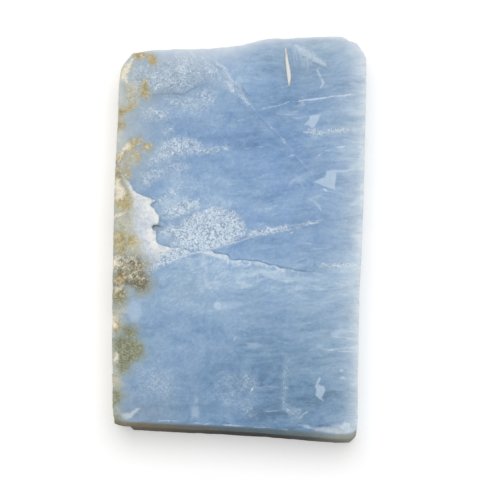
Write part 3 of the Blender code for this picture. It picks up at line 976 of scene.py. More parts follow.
SAND: tuple[Region, ...] = (
    Region(((-22.6, 30.2), (-21.1, 30.2), (-20.3, 28.6), (-20.6, 26.1), (-21.6, 26.1), (-22.6, 27.4))),
    Region((
        (-23.4, 14.6), (-22.3, 16.1), (-21.7, 16.8), (-20.7, 16.3), (-20.7, 15.1), (-21.7, 14.1),
        (-22.1, 12.5), (-22.7, 11.7), (-23.8, 13.0),
    )),
    Region((
        (-24.6, 9.5), (-22.8, 8.7), (-21.6, 7.3), (-21.2, 5.5), (-21.3, 3.1), (-21.4, 1.1), (-21.2, -0.5),
        (-24.5, -0.5),
    )),
    Region((
        (-24.8, -10.5), (-23.0, -11.2), (-22.6, -13.0), (-22.6, -15.2), (-22.9, -17.2), (-22.6, -19.1),
        (-23.7, -20.3), (-24.7, -19.9),
    )),
    Region(((-24.7, -22.1), (-23.6, -24.2), (-23.1, -27.4), (-23.5, -30.6), (-24.7, -31.0))),
    Region(((-24.6, -33.2), (-24.0, -33.7), (-23.7, -35.1), (-23.9, -36.4), (-24.5, -36.7))),
    Region(((-22.7, -1.3), (-20.2, -2.1), (-19.6, -3.7), (-19.8, -4.9), (-22.7, -4.7))),
)
GROWTHS: dict[Tint, tuple[Region, ...]] = {
    Tint.OLIVE: OLIVE,
    Tint.OCHRE: OCHRE,
    Tint.CREAM: CREAM,
    Tint.MOSS: MOSS,
    Tint.SAND: SAND,
}
POOLS: tuple[Pool, ...] = (
    Pool((4.8, 24.3), (6.0, 8.0), -0.24),
    Pool((3.8, 18.0), (9.0, 3.0), -0.14),
    Pool((5.6, -31.0), (7.0, 9.0), -0.34),
    Pool((0.0, -32.0), (26.0, 12.0), -0.2),
    Pool((9.6, -8.5), (13.0, 3.5), 0.17),
    Pool((-4.0, -6.0), (6.0, 3.0), 0.26),
    Pool((-12.0, -11.0), (9.0, 4.5), 0.16),
    Pool((-21.0, -13.0), (2.4, 3.5), 0.2),
    Pool((18.5, -10.0), (5.0, 8.0), 0.12),
    Pool((-6.0, 26.0), (8.0, 6.0), 0.06),
    Pool((0.5, 30.5), (5.0, 5.5), 0.26),
    Pool((-4.0, 18.8), (6.5, 5.0), -0.16),
    Pool((-13.0, 8.0), (5.0, 3.5), 0.12),
    Pool((-4.8, -14.2), (7.0, 3.5), 0.15),
    Pool((13.1, -11.2), (4.0, 3.0), 0.12),
    Pool((17.2, -32.8), (5.0, 7.0), -0.16),
    Pool((12.5, 33.0), (8.0, 4.0), -0.12),
    Pool((0.0, -37.5), (26.0, 3.0), -0.12),
    Pool((11.8, -22.0), (7.0, 4.0), 0.09),
    Pool((-17.0, -30.0), (6.0, 6.0), 0.04),
    Pool((-15.0, 13.0), (6.0, 3.5), 0.13),
    Pool((-10.5, 26.5), (6.0, 3.0), 0.14),
    Pool((-3.0, 5.8), (6.5, 3.5), 0.1),
    Pool((2.4, 30.5), (3.5, 5.0), 0.14),
    Pool((9.5, 36.0), (5.0, 3.0), 0.1),
    Pool((-12.0, 5.2), (5.5, 3.6), 0.22),
    Pool((-14.8, 0.2), (2.6, 2.4), 0.14),
    Pool((3.5, 2.6), (9.0, 2.2), 0.1),
    Pool((-4.5, 17.0), (4.0, 1.8), 0.12),
    Pool((17.5, 32.5), (5.0, 4.5), -0.12),
    Pool((-10.5, -4.9), (4.0, 1.2), 0.26),
    Pool((-12.5, -7.2), (3.5, 1.4), 0.14),
    Pool((-5.5, -27.5), (4.0, 2.5), 0.1),
    Pool((-5.2, -17.5), (4.0, 2.0), 0.09),
    Pool((17.0, -15.5), (4.0, 3.0), 0.07),
    Pool((12.0, -27.0), (7.0, 8.0), -0.08),
    Pool((-12.5, 32.0), (4.5, 3.5), -0.14),
    Pool((-14.5, 7.4), (2.6, 2.4), 0.16),
    Pool((-5.5, 5.8), (2.5, 1.6), 0.12),
    Pool((14.0, -37.5), (6.0, 1.6), -0.14),
    Pool((21.0, -22.0), (3.0, 8.0), -0.1),
    Pool((9.5, -31.5), (3.0, 3.0), 0.1),
    Pool((2.0, -26.5), (4.0, 3.0), 0.08),
    Pool((11.0, 30.5), (3.0, 3.5), -0.12),
    Pool((14.5, 5.5), (3.5, 3.5), -0.1),
    Pool((4.5, 17.0), (5.0, 3.0), -0.08),
    Pool((8.0, -3.0), (9.0, 1.6), 0.1),
    Pool((-1.5, -33.2), (2.5, 2.0), -0.12),
    Pool((5.5, -33.0), (2.0, 2.5), 0.1),
)
GREYED: tuple[Pool, ...] = (
    Pool((-15.0, 31.5), (8.0, 5.0), 0.6),
    Pool((-21.1, 28.6), (3.0, 5.0), 0.46),
    Pool((-19.0, 22.0), (3.5, 7.0), 0.06),
    Pool((-20.2, 14.5), (2.4, 2.6), 0.4),
    Pool((-17.0, -30.0), (6.0, 6.0), 0.1),
    Pool((-18.5, -35.5), (7.0, 3.2), 0.32),
    Pool((-12.0, 1.0), (7.0, 4.0), 0.16),
    Pool((12.0, 34.0), (4.0, 4.0), 0.24),
)
BLUER: tuple[Pool, ...] = (
    Pool((2.0, 13.0), (20.0, 25.0), 0.46),
    Pool((13.0, -26.0), (11.0, 16.0), -0.34),
    Pool((-8.0, -10.0), (10.0, 8.0), -0.14),
    Pool((12.0, 36.0), (14.0, 6.0), -0.3),
)


@dataclass(frozen=True)
class Marks:
    """Everything that only changes the stone's colour or shine, by its place on the face.

    Attributes:
        ledge: The ledge, whose pale crest carries a painted highlight and whose foot painted shade.
        frosts: Sugary patches.
        scar: The pale scar between the crust and the ledge.
        slot: The pit at the ledge's foot, with painted shade under its roof.
        slit: The pale gash near the far edge.
        patches: Pale slivers.
        faint_patches: Slivers that hardly show.
        chips: Chipped places that are paler than the face.
        strokes: Thin pale marks.
        shades: Thin dark marks, two of them painted shadow lines just beyond the ledge's crest.
        growths: The crust's growths, by their kind.
        pools: Where the stone is lighter, or deeper below 0.
        greyed: Where it is duller.
        bluer: Where it is bluer, or greener below 0.
        haze_reach: How far the crust's haze reaches in, for places along, in millimetres.
        haze_share: How dense that haze is, for places along.
        furthest: Distance at which distances to outlines are cut off.
    """

    ledge: Ledge = Ledge()
    frosts: tuple[Frost, ...] = FROSTS
    scar: Region = SCAR
    slot: Region = SLOT
    slit: Region = SLIT
    patches: tuple[Region, ...] = PATCHES
    faint_patches: tuple[Region, ...] = FAINT_PATCHES
    chips: tuple[Region, ...] = CHIPS
    strokes: tuple[Stroke, ...] = STROKES
    shades: tuple[Stroke, ...] = SHADES
    growths: dict[Tint, tuple[Region, ...]] = field(default_factory=lambda: GROWTHS)
    pools: tuple[Pool, ...] = POOLS
    greyed: tuple[Pool, ...] = GREYED
    bluer: tuple[Pool, ...] = BLUER
    haze_reach: Places = (
        (-38.0, 1.0), (-30.0, 1.2), (-26.0, 2.0), (-20.0, 1.7), (-15.0, 1.8), (-10.0, 2.2), (-4.0, 2.6),
        (0.0, 2.6), (8.0, 2.6), (14.0, 3.5), (20.0, 3.7), (26.0, 3.0), (34.0, 2.4),
    )
    haze_share: Places = (
        (-38.0, 0.50), (-30.0, 0.75), (-26.0, 0.75), (-20.0, 0.45), (-12.0, 0.35), (-6.0, 0.40),
        (2.0, 0.65), (12.0, 0.75), (18.0, 0.95), (36.0, 0.95),
    )
    furthest: float = 4.0

    def frosting(self, plan: Array) -> Array:
        """How frosted each point is, from 0 to 1."""
        drifted = self.shifted(plan, 0.6, 3.6, 41)
        return np.max([frost.cover(drifted) for frost in self.frosts], axis=0)

    def read(self, plan: Array) -> dict[str, Array]:
        """Work out what every point of the stone carries.

        Args:
            plan: Points in the plan, one row each.

        Returns:
            One array for each mark, by the name of the attribute that holds it.
        """
        eaten = self.shifted(plan, 0.25, 2.0, 101)
        wobbly = self.shifted(plan, 0.10, 1.2, 71)
        tone, grey, blue = (
            sum(pool.amount(plan) for pool in pools) for pools in (self.pools, self.greyed, self.bluer)
        )
        found = {
            "frost": self.frosting(plan),
            "scar": self.scar.reach(plan),
            "slot": self.slot.reach(wobbly),
            "slit": self.slit.reach(plan),
            "patch": widest(self.patches, wobbly),
            "faint_patch": widest(self.faint_patches, wobbly),
            "chip": widest(self.chips, wobbly),
            "ledge": self.ledge.beyond(plan),
            "ledge_height": self.ledge.fullness(plan),
            "tone": tone,
            "grey": grey,
            "cool": 0.60 - blue,
            "brushed": 0.35 + 0.65 * smooth(-8.0, 9.0, plan[:, 0]),
        }
        for tint in Tint:
            found[tint.value] = widest(self.growths[tint], eaten)
        found["stroke"], found["stroke_strength"] = self.strokes_at(self.strokes, wobbly)
        found["shade"], found["shade_strength"] = self.strokes_at(self.shades, wobbly)
        distances = ("scar", "slot", "slit", "patch", "faint_patch", "chip", "ledge")
        for name in (*distances, *(tint.value for tint in Tint)):
            found[name] = np.clip(found[name], -self.furthest, self.furthest)
        return found

    @staticmethod
    def shifted(plan: Array, amount: float, pitch: float, seed: int) -> Array:
        """Shift points by layered noise in both directions, so that drawn outlines become irregular.

        Args:
            plan: Points in the plan, one row each.
            amount: The greatest shift in millimetres.
            pitch: Size of the noise's largest cells in millimetres.
            seed: Picks the noise.

        Returns:
            The shifted points.
        """
        shifts = [layered(on_plane(plan), pitch, 3, start) for start in (seed, seed + 10)]
        return plan + amount * np.column_stack(shifts)

    @staticmethod
    def strokes_at(strokes: Iterable[Stroke], plan: Array) -> tuple[Array, Array]:
        """Place points against the nearest thin mark.

        Args:
            strokes: The marks.
            plan: Points in the plan, one row each.

        Returns:
            The distance across the mark in half widths, which widen to its middle, and its strength.
        """
        nearest = np.full(len(plan), 40.0)
        strength = np.zeros(len(plan))
        for stroke in strokes:
            line = Line(stroke.corners)
            across, along = line.follow(plan)
            share = along / line.length()
            half_width = stroke.half_width * (0.35 + 0.65 * np.sqrt(4.0 * share * (1.0 - share)))
            relative = across / half_width
            closer = np.abs(relative) < np.abs(nearest)
            nearest = np.where(closer, relative, nearest)
            strength = np.where(closer, stroke.strength + (stroke.last - stroke.strength) * share, strength)
        return nearest, strength


# Shader expressions


@dataclass(frozen=True)
class Signal:
    """A value in a material, on which Python's arithmetic adds Math nodes.

    Attributes:
        socket: The node output that carries the value.
    """

    kit: "NodeKit"
    socket: bpy.types.NodeSocket

    def __add__(self, other: "Value") -> "Signal":
        """Sum of two values."""
        return self.kit.math("ADD", self, other)

    def __radd__(self, other: "Value") -> "Signal":
        """Sum of two values."""
        return self.kit.math("ADD", other, self)

    def __sub__(self, other: "Value") -> "Signal":
        """Difference of two values."""
        return self.kit.math("SUBTRACT", self, other)

    def __rsub__(self, other: "Value") -> "Signal":
        """Difference of two values."""
        return self.kit.math("SUBTRACT", other, self)

    def __mul__(self, other: "Value") -> "Signal":
        """Product of two values."""
        return self.kit.math("MULTIPLY", self, other)

    def __rmul__(self, other: "Value") -> "Signal":
        """Product of two values."""
        return self.kit.math("MULTIPLY", other, self)

    def __truediv__(self, other: "Value") -> "Signal":
        """Quotient of two values."""
        return self.kit.math("DIVIDE", self, other)

    def __neg__(self) -> "Signal":
        """The value with its sign turned."""
        return self.kit.math("MULTIPLY", self, -1.0)

    def __abs__(self) -> "Signal":
        """The value without its sign."""
        return self.kit.math("ABSOLUTE", self)

    def eased(self, low: float, high: float) -> "Signal":
        """The value eased from 0 at low to 1 at high."""
        return self.kit.value(
            "ShaderNodeMapRange",
            {"interpolation_type": "SMOOTHSTEP"},
            {"Value": self, "From Min": low, "From Max": high},
            "Result",
        )

    def held(self) -> "Signal":
        """The value held between 0 and 1."""
        return self.kit.math("ADD", self, 0.0, clamped=True)


Value = Union[Signal, float]


class NodeKit:
    """Adds nodes to one material."""

    def __init__(self, material: bpy.types.Material) -> None:
        """Start with the material's own nodes.

        Args:
            material: A material that uses nodes.
        """
        self.tree = material.node_tree
        self.shader = self.tree.nodes["Principled BSDF"]

    def make(self, kind: str, settings: dict[str, Any], inputs: dict[str, Any]) -> bpy.types.Node:
        """Add a node.

        Args:
            kind: The node's type.
            settings: Its settings; "stops" sets a ramp's places and colours.
            inputs: A value or a signal for each socket, by the socket's identifier.

        Returns:
            The new node.
        """
        node = self.tree.nodes.new(kind)
        for name, setting in settings.items():
            if name == "stops":
                self.set_stops(node.color_ramp, setting)
            else:
                setattr(node, name, setting)
        sockets = {socket.identifier: socket for socket in node.inputs}
        for name, given in inputs.items():
            if isinstance(given, Signal):
                self.tree.links.new(given.socket, sockets[name])
            else:
                sockets[name].default_value = given
        return node

    @staticmethod
    def set_stops(ramp: bpy.types.ColorRamp, stops: list[tuple[float, Colour]]) -> None:
        """Give a ramp its stops.

        Args:
            ramp: The ramp.
            stops: A place and a colour as seen on a screen for each stop, in order.
        """
        while len(ramp.elements) < len(stops):
            ramp.elements.new(1.0)
        for element, (place, colour) in zip(ramp.elements, stops):
            element.position = place
            element.color = linear(colour)

    def value(self, kind: str, settings: dict[str, Any], inputs: dict[str, Any], output: str) -> Signal:
        """Add a node and take one of its outputs, by its identifier."""
        node = self.make(kind, settings, inputs)
        return Signal(self, {socket.identifier: socket for socket in node.outputs}[output])

    def math(self, operation: str, first: Value, second: Value = 0.0, clamped: bool = False) -> Signal:
        """Add a Math node on one or two values."""
        settings = {"operation": operation, "use_clamp": clamped}
        return self.value("ShaderNodeMath", settings, {"Value": first, "Value_001": second}, "Value")

    def axes(self, place: Signal) -> tuple[Signal, Signal, Signal]:
        """Take a vector's three values apart."""
        node = self.make("ShaderNodeSeparateXYZ", {}, {"Vector": place})
        x, y, z = (Signal(self, node.outputs[axis]) for axis in "XYZ")
        return x, y, z

    def vector(self, x: Value, y: Value, z: Value = 0.0) -> Signal:
        """Put three values together as a vector."""
        return self.value("ShaderNodeCombineXYZ", {}, {"X": x, "Y": y, "Z": z}, "Vector")

    def noise(
        self, place: Signal, scale: float, detail: float, rough: float = 0.5, twist: float = 0.0
    ) -> Signal:
        """Noise at a place, from about -1 to 1 with 0 as its mean.

        Args:
            place: Places in millimetres.
            scale: Lumps in a millimetre.
            detail: Layers of ever finer noise.
            rough: Share of its height that each finer layer keeps.
            twist: How far the noise is bent by itself.

        Returns:
            The noise.
        """
        inputs = {
            "Vector": place, "Scale": scale, "Detail": detail, "Roughness": rough, "Distortion": twist,
        }
        texture = self.value("ShaderNodeTexNoise", {"noise_dimensions": "3D"}, inputs, "Fac")
        return (texture - 0.5) * 2.0

    def mix(self, share: Value, first: "Signal | Colour", second: "Signal | Colour") -> Signal:
        """Mix two colours.

        Args:
            share: Share of the second colour, from 0 to 1.
            first: A signal, or a colour as seen on a screen.
            second: The same.

        Returns:
            The mixed colour.
        """
        ends = [end if isinstance(end, Signal) else linear(end) for end in (first, second)]
        inputs = {"Factor_Float": share, "A_Color": ends[0], "B_Color": ends[1]}
        return self.value("ShaderNodeMix", {"data_type": "RGBA"}, inputs, "Result_Color")

    def mark(self, name: str) -> Signal:
        """Read one of the mesh's attributes."""
        return self.value("ShaderNodeAttribute", {"attribute_name": name}, {}, "Fac")

    def ramp(self, place: Signal, stops: list[tuple[float, Colour]]) -> Signal:
        """Colour by a ramp whose stops are colours as seen on a screen."""
        return self.value("ShaderNodeValToRGB", {"stops": stops}, {"Fac": place}, "Color")

    def shaded(self, place: Signal, shades: Shades, low: float, high: float) -> Signal:
        """Colour by three shades, the first at low, the second at one half and the last at high."""
        return self.ramp(place, list(zip((low, 0.5, high), shades)))


def linear(colour: Colour) -> tuple[float, float, float, float]:
    """Turn a colour as seen on a screen into a shader's linear one, by the curve that screens use.

    Args:
        colour: Red, green and blue from 0 to 255.

    Returns:
        Red, green, blue and opacity from 0 to 1.
    """
    shares = [channel / 255.0 for channel in colour]
    bent = [share / 12.92 if share <= 0.04045 else ((share + 0.055) / 1.055) ** 2.4 for share in shares]
    return (*bent, 1.0)


# Finishes


@dataclass(frozen=True)
class CrustFinish:
    """Colours of the natural crust, as seen on a screen. A growth's shades go from dark to pale.

    Attributes:
        haze: Pale veil on the stone beside the crust.
        sand: The crust's sandy ground.
        halo: Green veil round the olive and mossy growths.
        olive: Olive growths near the near end.
        straw: The same further along.
        ochre: Ochre spots.
        cream: Cream crumbs.
        moss: Brown, mossy growths.
        moss_halo: Veil round the mossy growths.
    """

    haze: Colour = (214, 218, 210)
    sand: Shades = ((158, 150, 120), (200, 194, 166), (232, 228, 212))
    halo: Colour = (142, 158, 150)
    olive: Shades = ((94, 90, 56), (139, 139, 102), (190, 188, 154))
    straw: Shades = ((144, 124, 76), (190, 175, 124), (226, 218, 184))
    ochre: Shades = ((112, 98, 60), (172, 154, 102), (244, 218, 158))
    cream: tuple[Colour, Colour] = ((210, 196, 166), (248, 242, 224))
    moss: Shades = ((98, 90, 64), (158, 150, 120), (232, 226, 208))
    moss_halo: Colour = (146, 148, 136)


@dataclass(frozen=True)
class SideFinish:
    """Colours of the sides, as seen on a screen.

    Attributes:
        places: Shares of the way across the near side at which its stain's colours stand.
        upper: The near side's stain at its rim, darkened with painted shade.
        lower: The same at its foot, darker still with painted shade where the side meets the floor.
        drip: The stain's darkest spots.
        far: The far side's stone, its stain and its pale crumbs.
        husk: The crust side, each colour with its level.
        clean: The clean side's layers.
    """

    places: tuple[float, ...] = (0.0, 0.15, 0.26, 0.44, 0.63, 0.76, 0.88, 1.0)
    upper: tuple[Colour, ...] = (
        (142, 139, 120), (130, 121, 103), (114, 112, 102), (104, 117, 122),
        (99, 115, 125), (116, 130, 136), (151, 158, 152), (184, 188, 176),
    )
    lower: tuple[Colour, ...] = (
        (100, 92, 76), (90, 82, 67), (74, 69, 58), (48, 46, 41),
        (44, 46, 42), (64, 67, 62), (112, 114, 103), (150, 151, 138),
    )
    drip: Colour = (48, 44, 36)
    far: Shades = ((158, 174, 188), (154, 148, 124), (208, 210, 202))
    husk: tuple[tuple[float, Colour], ...] = (
        (0.1, (112, 106, 84)), (0.38, (154, 150, 124)), (0.6, (190, 180, 148)), (0.85, (228, 221, 200)),
    )
    clean: tuple[Colour, Colour] = ((150, 178, 203), (214, 224, 232))


@dataclass(frozen=True)
class OpalFinish:
    """Waxy blue opal with streaks, frost, pale seams and its crust. Colours are as seen on a screen.

    Attributes:
        body: The stone's colours from deepest to lightest.
        cool: The same where it is duller and a little greener.
        fleck: Pale dashes in the streaks.
        frost: The white of the sugary grains, partly their own pale colour and partly painted glints of
            light.
        frost_film: The pale film that the grains lie on.
        frost_gap: The deep colour between the grains.
        scar: The pale scar beside the crust, from its shaded grains to its bright ones.
        crest: The ledge's pale crest at the crust and further across, partly a painted highlight on its lit
            wall.
        seam: The pale colour of thin marks.
        dark_line: The dark colour of thin marks, which beside the ledge's crest are painted shadow lines.
        patch: Pale slivers.
        faint_patch: Slivers that hardly show.
        chip: Chipped places.
        slit: The pale gash near the far edge.
        slit_rim_stain_and_shadow: The gash's rim: a brown stain on its crust side, and painted shadow along
            its clean side.
        pit: The pit's lit floor and the shade under its roof.
        edge_glow: Painted glow: the colour that the thin, light-filled clean edge fades to.
        far_edge_glow: The same painted glow for the far edge.
        grey: The dull colour of the worn corners.
        shade: Painted shade at the ledge's foot, just beyond its crest.
        crust: The crust's colours.
        sides: The sides' colours.
        roughness: Roughness of the waxy face.
        frosted: Roughness of frost and crust.
        shine: How strongly the surface mirrors.
        bending: How strongly the stone bends light, its index of refraction.
        clouding: Weight of the light that spreads under the surface.
        spread: How far red, green and blue spread, as shares of the depth.
        depth: How deep the light spreads, in metres.
    """

    body: tuple[Colour, ...] = (
        (80, 113, 155), (103, 140, 184), (124, 158, 200), (145, 176, 212), (180, 204, 228),
    )
    cool: tuple[Colour, ...] = (
        (90, 122, 150), (114, 148, 177), (137, 166, 192), (158, 184, 206), (192, 211, 224),
    )
    fleck: Colour = (192, 212, 230)
    frost: Colour = (229, 241, 252)
    frost_film: Colour = (174, 194, 213)
    frost_gap: Colour = (121, 142, 163)
    scar: tuple[Colour, Colour] = ((194, 205, 217), (244, 244, 241))
    crest: tuple[Colour, Colour] = ((248, 246, 240), (218, 230, 240))
    seam: Colour = (219, 231, 243)
    dark_line: Colour = (96, 116, 140)
    patch: Colour = (200, 219, 235)
    faint_patch: Colour = (196, 214, 232)
    chip: Colour = (218, 229, 236)
    slit: Colour = (230, 230, 226)
    slit_rim_stain_and_shadow: tuple[Colour, Colour] = ((150, 140, 112), (128, 142, 150))
    pit: tuple[Colour, Colour] = ((158, 178, 192), (84, 102, 118))
    edge_glow: Colour = (229, 239, 243)
    far_edge_glow: Colour = (224, 230, 236)
    grey: Colour = (151, 164, 171)
    shade: Colour = (84, 108, 134)
    crust: CrustFinish = CrustFinish()
    sides: SideFinish = SideFinish()
    roughness: float = 0.48
    frosted: float = 0.85
    shine: float = 0.35
    bending: float = 1.45
    clouding: float = 0.15
    spread: tuple[float, float, float] = (0.6, 0.8, 1.0)
    depth: float = 0.0015

    def material(self) -> bpy.types.Material:
        """Make the material.

        Returns:
            A material for a mesh that carries the marks as attributes.
        """
        material = bpy.data.materials.new("blue_opal_waxy")
        material.use_nodes = True
        kit = NodeKit(material)
        shader = kit.shader
        settings = {
            "IOR": self.bending,
            "Specular IOR Level": self.shine,
            "Subsurface Weight": self.clouding,
            "Subsurface Radius": self.spread,
            "Subsurface Scale": self.depth,
        }
        for name, setting in settings.items():
            shader.inputs[name].default_value = setting
        place = kit.value("ShaderNodeTexCoord", {}, {}, "Object")
        scaling = {"Vector": place, "Scale": 1.0 / MM}
        place = kit.value("ShaderNodeVectorMath", {"operation": "SCALE"}, scaling, "Vector")
        grain = kit.noise(place, 1.7, 4.0, 0.7, 0.6)
        colour, streaks = self.body_colour(kit, place, grain)
        colour, grains = self.frosted_colour(kit, place, colour, grain)
        colour = self.scarred_colour(kit, place, colour, grain)
        colour = self.marked_colour(kit, place, colour, grain)
        colour = self.edge_glow_and_haze(kit, place, colour, streaks)
        colour, lumps = self.crust_colour(kit, place, colour)
        colour = self.side_colour(kit, place, colour, grain)
        kit.tree.links.new(colour.socket, shader.inputs["Base Color"])
        dull = kit.math("MAXIMUM", kit.mark("frost"), kit.mark("crust_haze"))
        dull = kit.math("MAXIMUM", dull, kit.mark("near_side")).held()
        rough = self.roughness + streaks * 0.06 + dull * (self.frosted - self.roughness)
        kit.tree.links.new(rough.held().socket, shader.inputs["Roughness"])
        height = streaks * 0.02 + grain * 0.015 + grains * 0.04 + lumps * 0.08
        relief = {"Strength": 0.9, "Distance": MM, "Height": height}
        bump = kit.value("ShaderNodeBump", {}, relief, "Normal")
        kit.tree.links.new(bump.socket, shader.inputs["Normal"])
        return material

    def body_colour(self, kit: NodeKit, place: Signal, grain: Signal) -> tuple[Signal, Signal]:
        """Blue stone with streaks that rise a little to the clean side.

        The streaks are noise on stretched places: x is squeezed, and y leans by a share of x and wavers.
        They are strongest where the stone is brushed; elsewhere soft clouds and wisps take their place.

        Args:
            kit: The material's nodes.
            place: Places in millimetres.
            grain: Fine noise.

        Returns:
            The colour and the streaks' strength.
        """
        x, y, z = kit.axes(place)
        uneven = kit.noise(place, 0.16, 4.0, 0.6, 0.6)
        brushed = (kit.mark("brushed") * (1.0 + uneven * 1.5)).held()
        waver = kit.noise(place, 0.09, 4.0, 0.6)
        lean = y - x * 0.06 + waver * 1.8
        broad = kit.noise(kit.vector(x * 0.07, lean * 0.20, z * 0.2), 1.0, 4.0, 0.55, 0.5)
        bands = kit.noise(kit.vector(x * 0.15, lean * 0.62, z * 0.3 + 7.0), 1.0, 4.0, 0.6, 0.8)
        hairs = kit.noise(kit.vector(x * 0.30, lean * 1.7, z * 0.6 + 3.0), 1.0, 3.0, 0.65, 0.8)
        wisps = kit.noise(kit.vector((x + y) * 0.40, (y - x) * 0.9, z + 11.0), 1.0, 4.0, 0.62, 1.6)
        clouds = kit.noise(place, 0.36, 4.0, 0.6, 0.9)
        streaks = bands * 0.6 + hairs * 0.45
        soft = wisps * 0.28 + clouds * 0.32
        amount = 0.56 + kit.mark("tone") * 0.8 + broad * 0.42 + grain * 0.22
        amount = amount + (bands * 0.38 + hairs * 0.26) * brushed + soft * (1.1 - brushed * 0.6)
        blue, cool = (
            kit.ramp(amount, [(index / (len(colours) - 1), colour) for index, colour in enumerate(colours)])
            for colours in (self.body, self.cool)
        )
        colour = kit.mix((kit.mark("cool") + uneven * 0.6 + clouds * 0.3).held(), blue, cool)
        colour = kit.mix(kit.mark("grey").held(), colour, self.grey)
        dashes = kit.noise(kit.vector(x * 0.42, lean * 2.6, z + 21.0), 1.0, 2.0, 0.5, 0.8)
        flecks = (dashes + bands * 0.5 + uneven * 0.5).eased(0.34, 0.85) * (brushed + 0.1)
        return kit.mix(flecks * 0.55, colour, self.fleck), streaks

    def frosted_colour(
        self, kit: NodeKit, place: Signal, colour: Signal, grain: Signal
    ) -> tuple[Signal, Signal]:
        """Sugary grains on a pale film; the grains' white is partly painted glints of light.

        The grains are thin curved lines, where one noise is near 0, together with the crests of another.
        Their level falls as the frost thickens, and the gaps between them are deeper than the film.

        Args:
            kit: The material's nodes.
            place: Places in millimetres.
            colour: The colour under the frost.
            grain: Fine noise.

        Returns:
            The colour with the frost, and how strongly each point stands out as a grain.
        """
        patchy = kit.noise(place, 0.33, 5.0, 0.68, 0.5)
        thick = (kit.mark("frost") * (1.0 + patchy * 0.9)).held()
        worms = kit.noise(place, 1.9, 3.0, 0.6, 1.6)
        lines = 1.0 - abs(kit.noise(place, 1.4, 1.0, 0.5, 1.3)) * 4.5
        texture = lines * 0.30 + worms * 0.62 + grain * 0.36
        grains = (texture + thick * 0.30 - 0.18).eased(-0.10, 0.52) * thick.eased(0.04, 0.70)
        gaps = (-texture).eased(-0.10, 0.42) * thick.eased(0.04, 0.66)
        film = kit.mix(thick.eased(0.05, 0.95) * 0.80, colour, self.frost_film)
        film = kit.mix(gaps * 0.60, film, self.frost_gap)
        stray = (kit.noise(place, 2.1, 2.0, 0.5) + patchy * 0.4).eased(0.42, 0.70)
        grains = kit.math("MAXIMUM", grains, stray * 0.30)
        # White grains: the frost's own pale colour, partly painted glints of light on the grains
        return kit.mix(grains * 0.90, film, self.frost), grains

    def scarred_colour(self, kit: NodeKit, place: Signal, colour: Signal, grain: Signal) -> Signal:
        """The pale scar up to the ledge's crest, the crest with a painted highlight, and painted shade just
        beyond it.

        Args:
            kit: The material's nodes.
            place: Places in millimetres.
            colour: The colour under these marks.
            grain: Fine noise.

        Returns:
            The colour with them.
        """
        ragged = kit.noise(place, 0.5, 5.0, 0.68)
        crumbs = kit.noise(place, 0.85, 4.0, 0.7, 0.8)
        ledge = kit.mark("ledge")
        height = kit.mark("ledge_height")
        x = kit.axes(place)[0]
        above = 1.0 - (ledge + crumbs * 0.16).eased(-0.06, 0.10)
        scar = (kit.mark("scar") + ragged * 1.0).eased(-1.1, 1.0) * above
        near_crest = (ledge + ragged * 1.2).eased(-3.6, -0.2)
        sugar = (grain * 1.3 + crumbs * 0.7 + ragged * 0.3 + near_crest * 0.45 + 0.22).held()
        colour = kit.mix(scar * 0.93, colour, kit.mix(sugar, *self.scar))
        broken = (crumbs * 1.9 + 0.55).held()
        # The crest: its own crumbly pale colour, partly a painted highlight on the wall that faces the
        # light
        crest = (ledge + crumbs * 1.3).eased(-1.3, -0.1) * above * broken
        bright = kit.mix(x.eased(-15.0, -8.0), *self.crest)
        colour = kit.mix(crest * height * 0.85, colour, bright)
        # Painted shade in a thin line just beyond the crest, at the ledge's foot
        gap = (ledge + crumbs * 0.12).eased(-0.02, 0.12) * (1.0 - ledge.eased(0.12, 0.55))
        right = x.eased(-9.0, -4.0) * 0.45 + 0.16
        return kit.mix(gap * height.eased(0.0, 0.5) * (broken + 0.2) * right, colour, self.shade)

    def marked_colour(self, kit: NodeKit, place: Signal, colour: Signal, grain: Signal) -> Signal:
        """Pale patches, chips, thin marks, the gash and the pit, each with an edge broken by noise, some
        with painted shade.

        Args:
            kit: The material's nodes.
            place: Places in millimetres.
            colour: The colour under these marks.
            grain: Fine noise.

        Returns:
            The colour with them.
        """
        ragged = kit.noise(place, 1.1, 4.0, 0.7, 0.8)
        x, y, _ = kit.axes(place)
        faint = (kit.mark("faint_patch") + ragged * 0.35).eased(-0.35, 0.45)
        colour = kit.mix(faint * 0.34, colour, self.faint_patch)
        patch = (kit.mark("patch") + ragged * 0.10).eased(-0.14, 0.20)
        colour = kit.mix(patch * (0.56 + ragged * 0.15), colour, self.patch)
        chip = (kit.mark("chip") + ragged * 0.45).eased(-0.3, 0.45)
        fresh = (0.76 - x.eased(-10.0, 10.0) * 0.16 + grain * 0.4).held()
        colour = kit.mix(chip * fresh, colour, self.chip)
        across = abs(kit.mark("stroke")) + grain * 0.9 + ragged * 0.5
        broken = (kit.noise(place, 1.0, 4.0, 0.75) * 1.9 + 0.75).held()
        stroke = (1.0 - across.eased(0.1, 1.6)) * kit.mark("stroke_strength") * broken
        colour = kit.mix(stroke, colour, self.seam)
        # Thin dark lines, some of them painted shadow lines beyond the ledge's crest
        shade = abs(kit.mark("shade")) + grain * 0.6 + ragged * 0.5
        shade = (1.0 - shade.eased(0.1, 1.6)) * kit.mark("shade_strength") * broken
        colour = kit.mix(shade, colour, self.dark_line)
        slit = kit.mark("slit") + grain * 0.10
        head = y.eased(35.5, 37.5)
        # The gash's rim: brown stain on its crust side, painted shadow on its clean side
        edge = kit.mix(x.eased(9.0, 9.8), *self.slit_rim_stain_and_shadow)
        colour = kit.mix(slit.eased(-0.30, -0.04) * (0.55 - head * 0.2), colour, edge)
        colour = kit.mix(slit.eased(-0.08, 0.14) * (0.95 - head * 0.2), colour, self.slit)
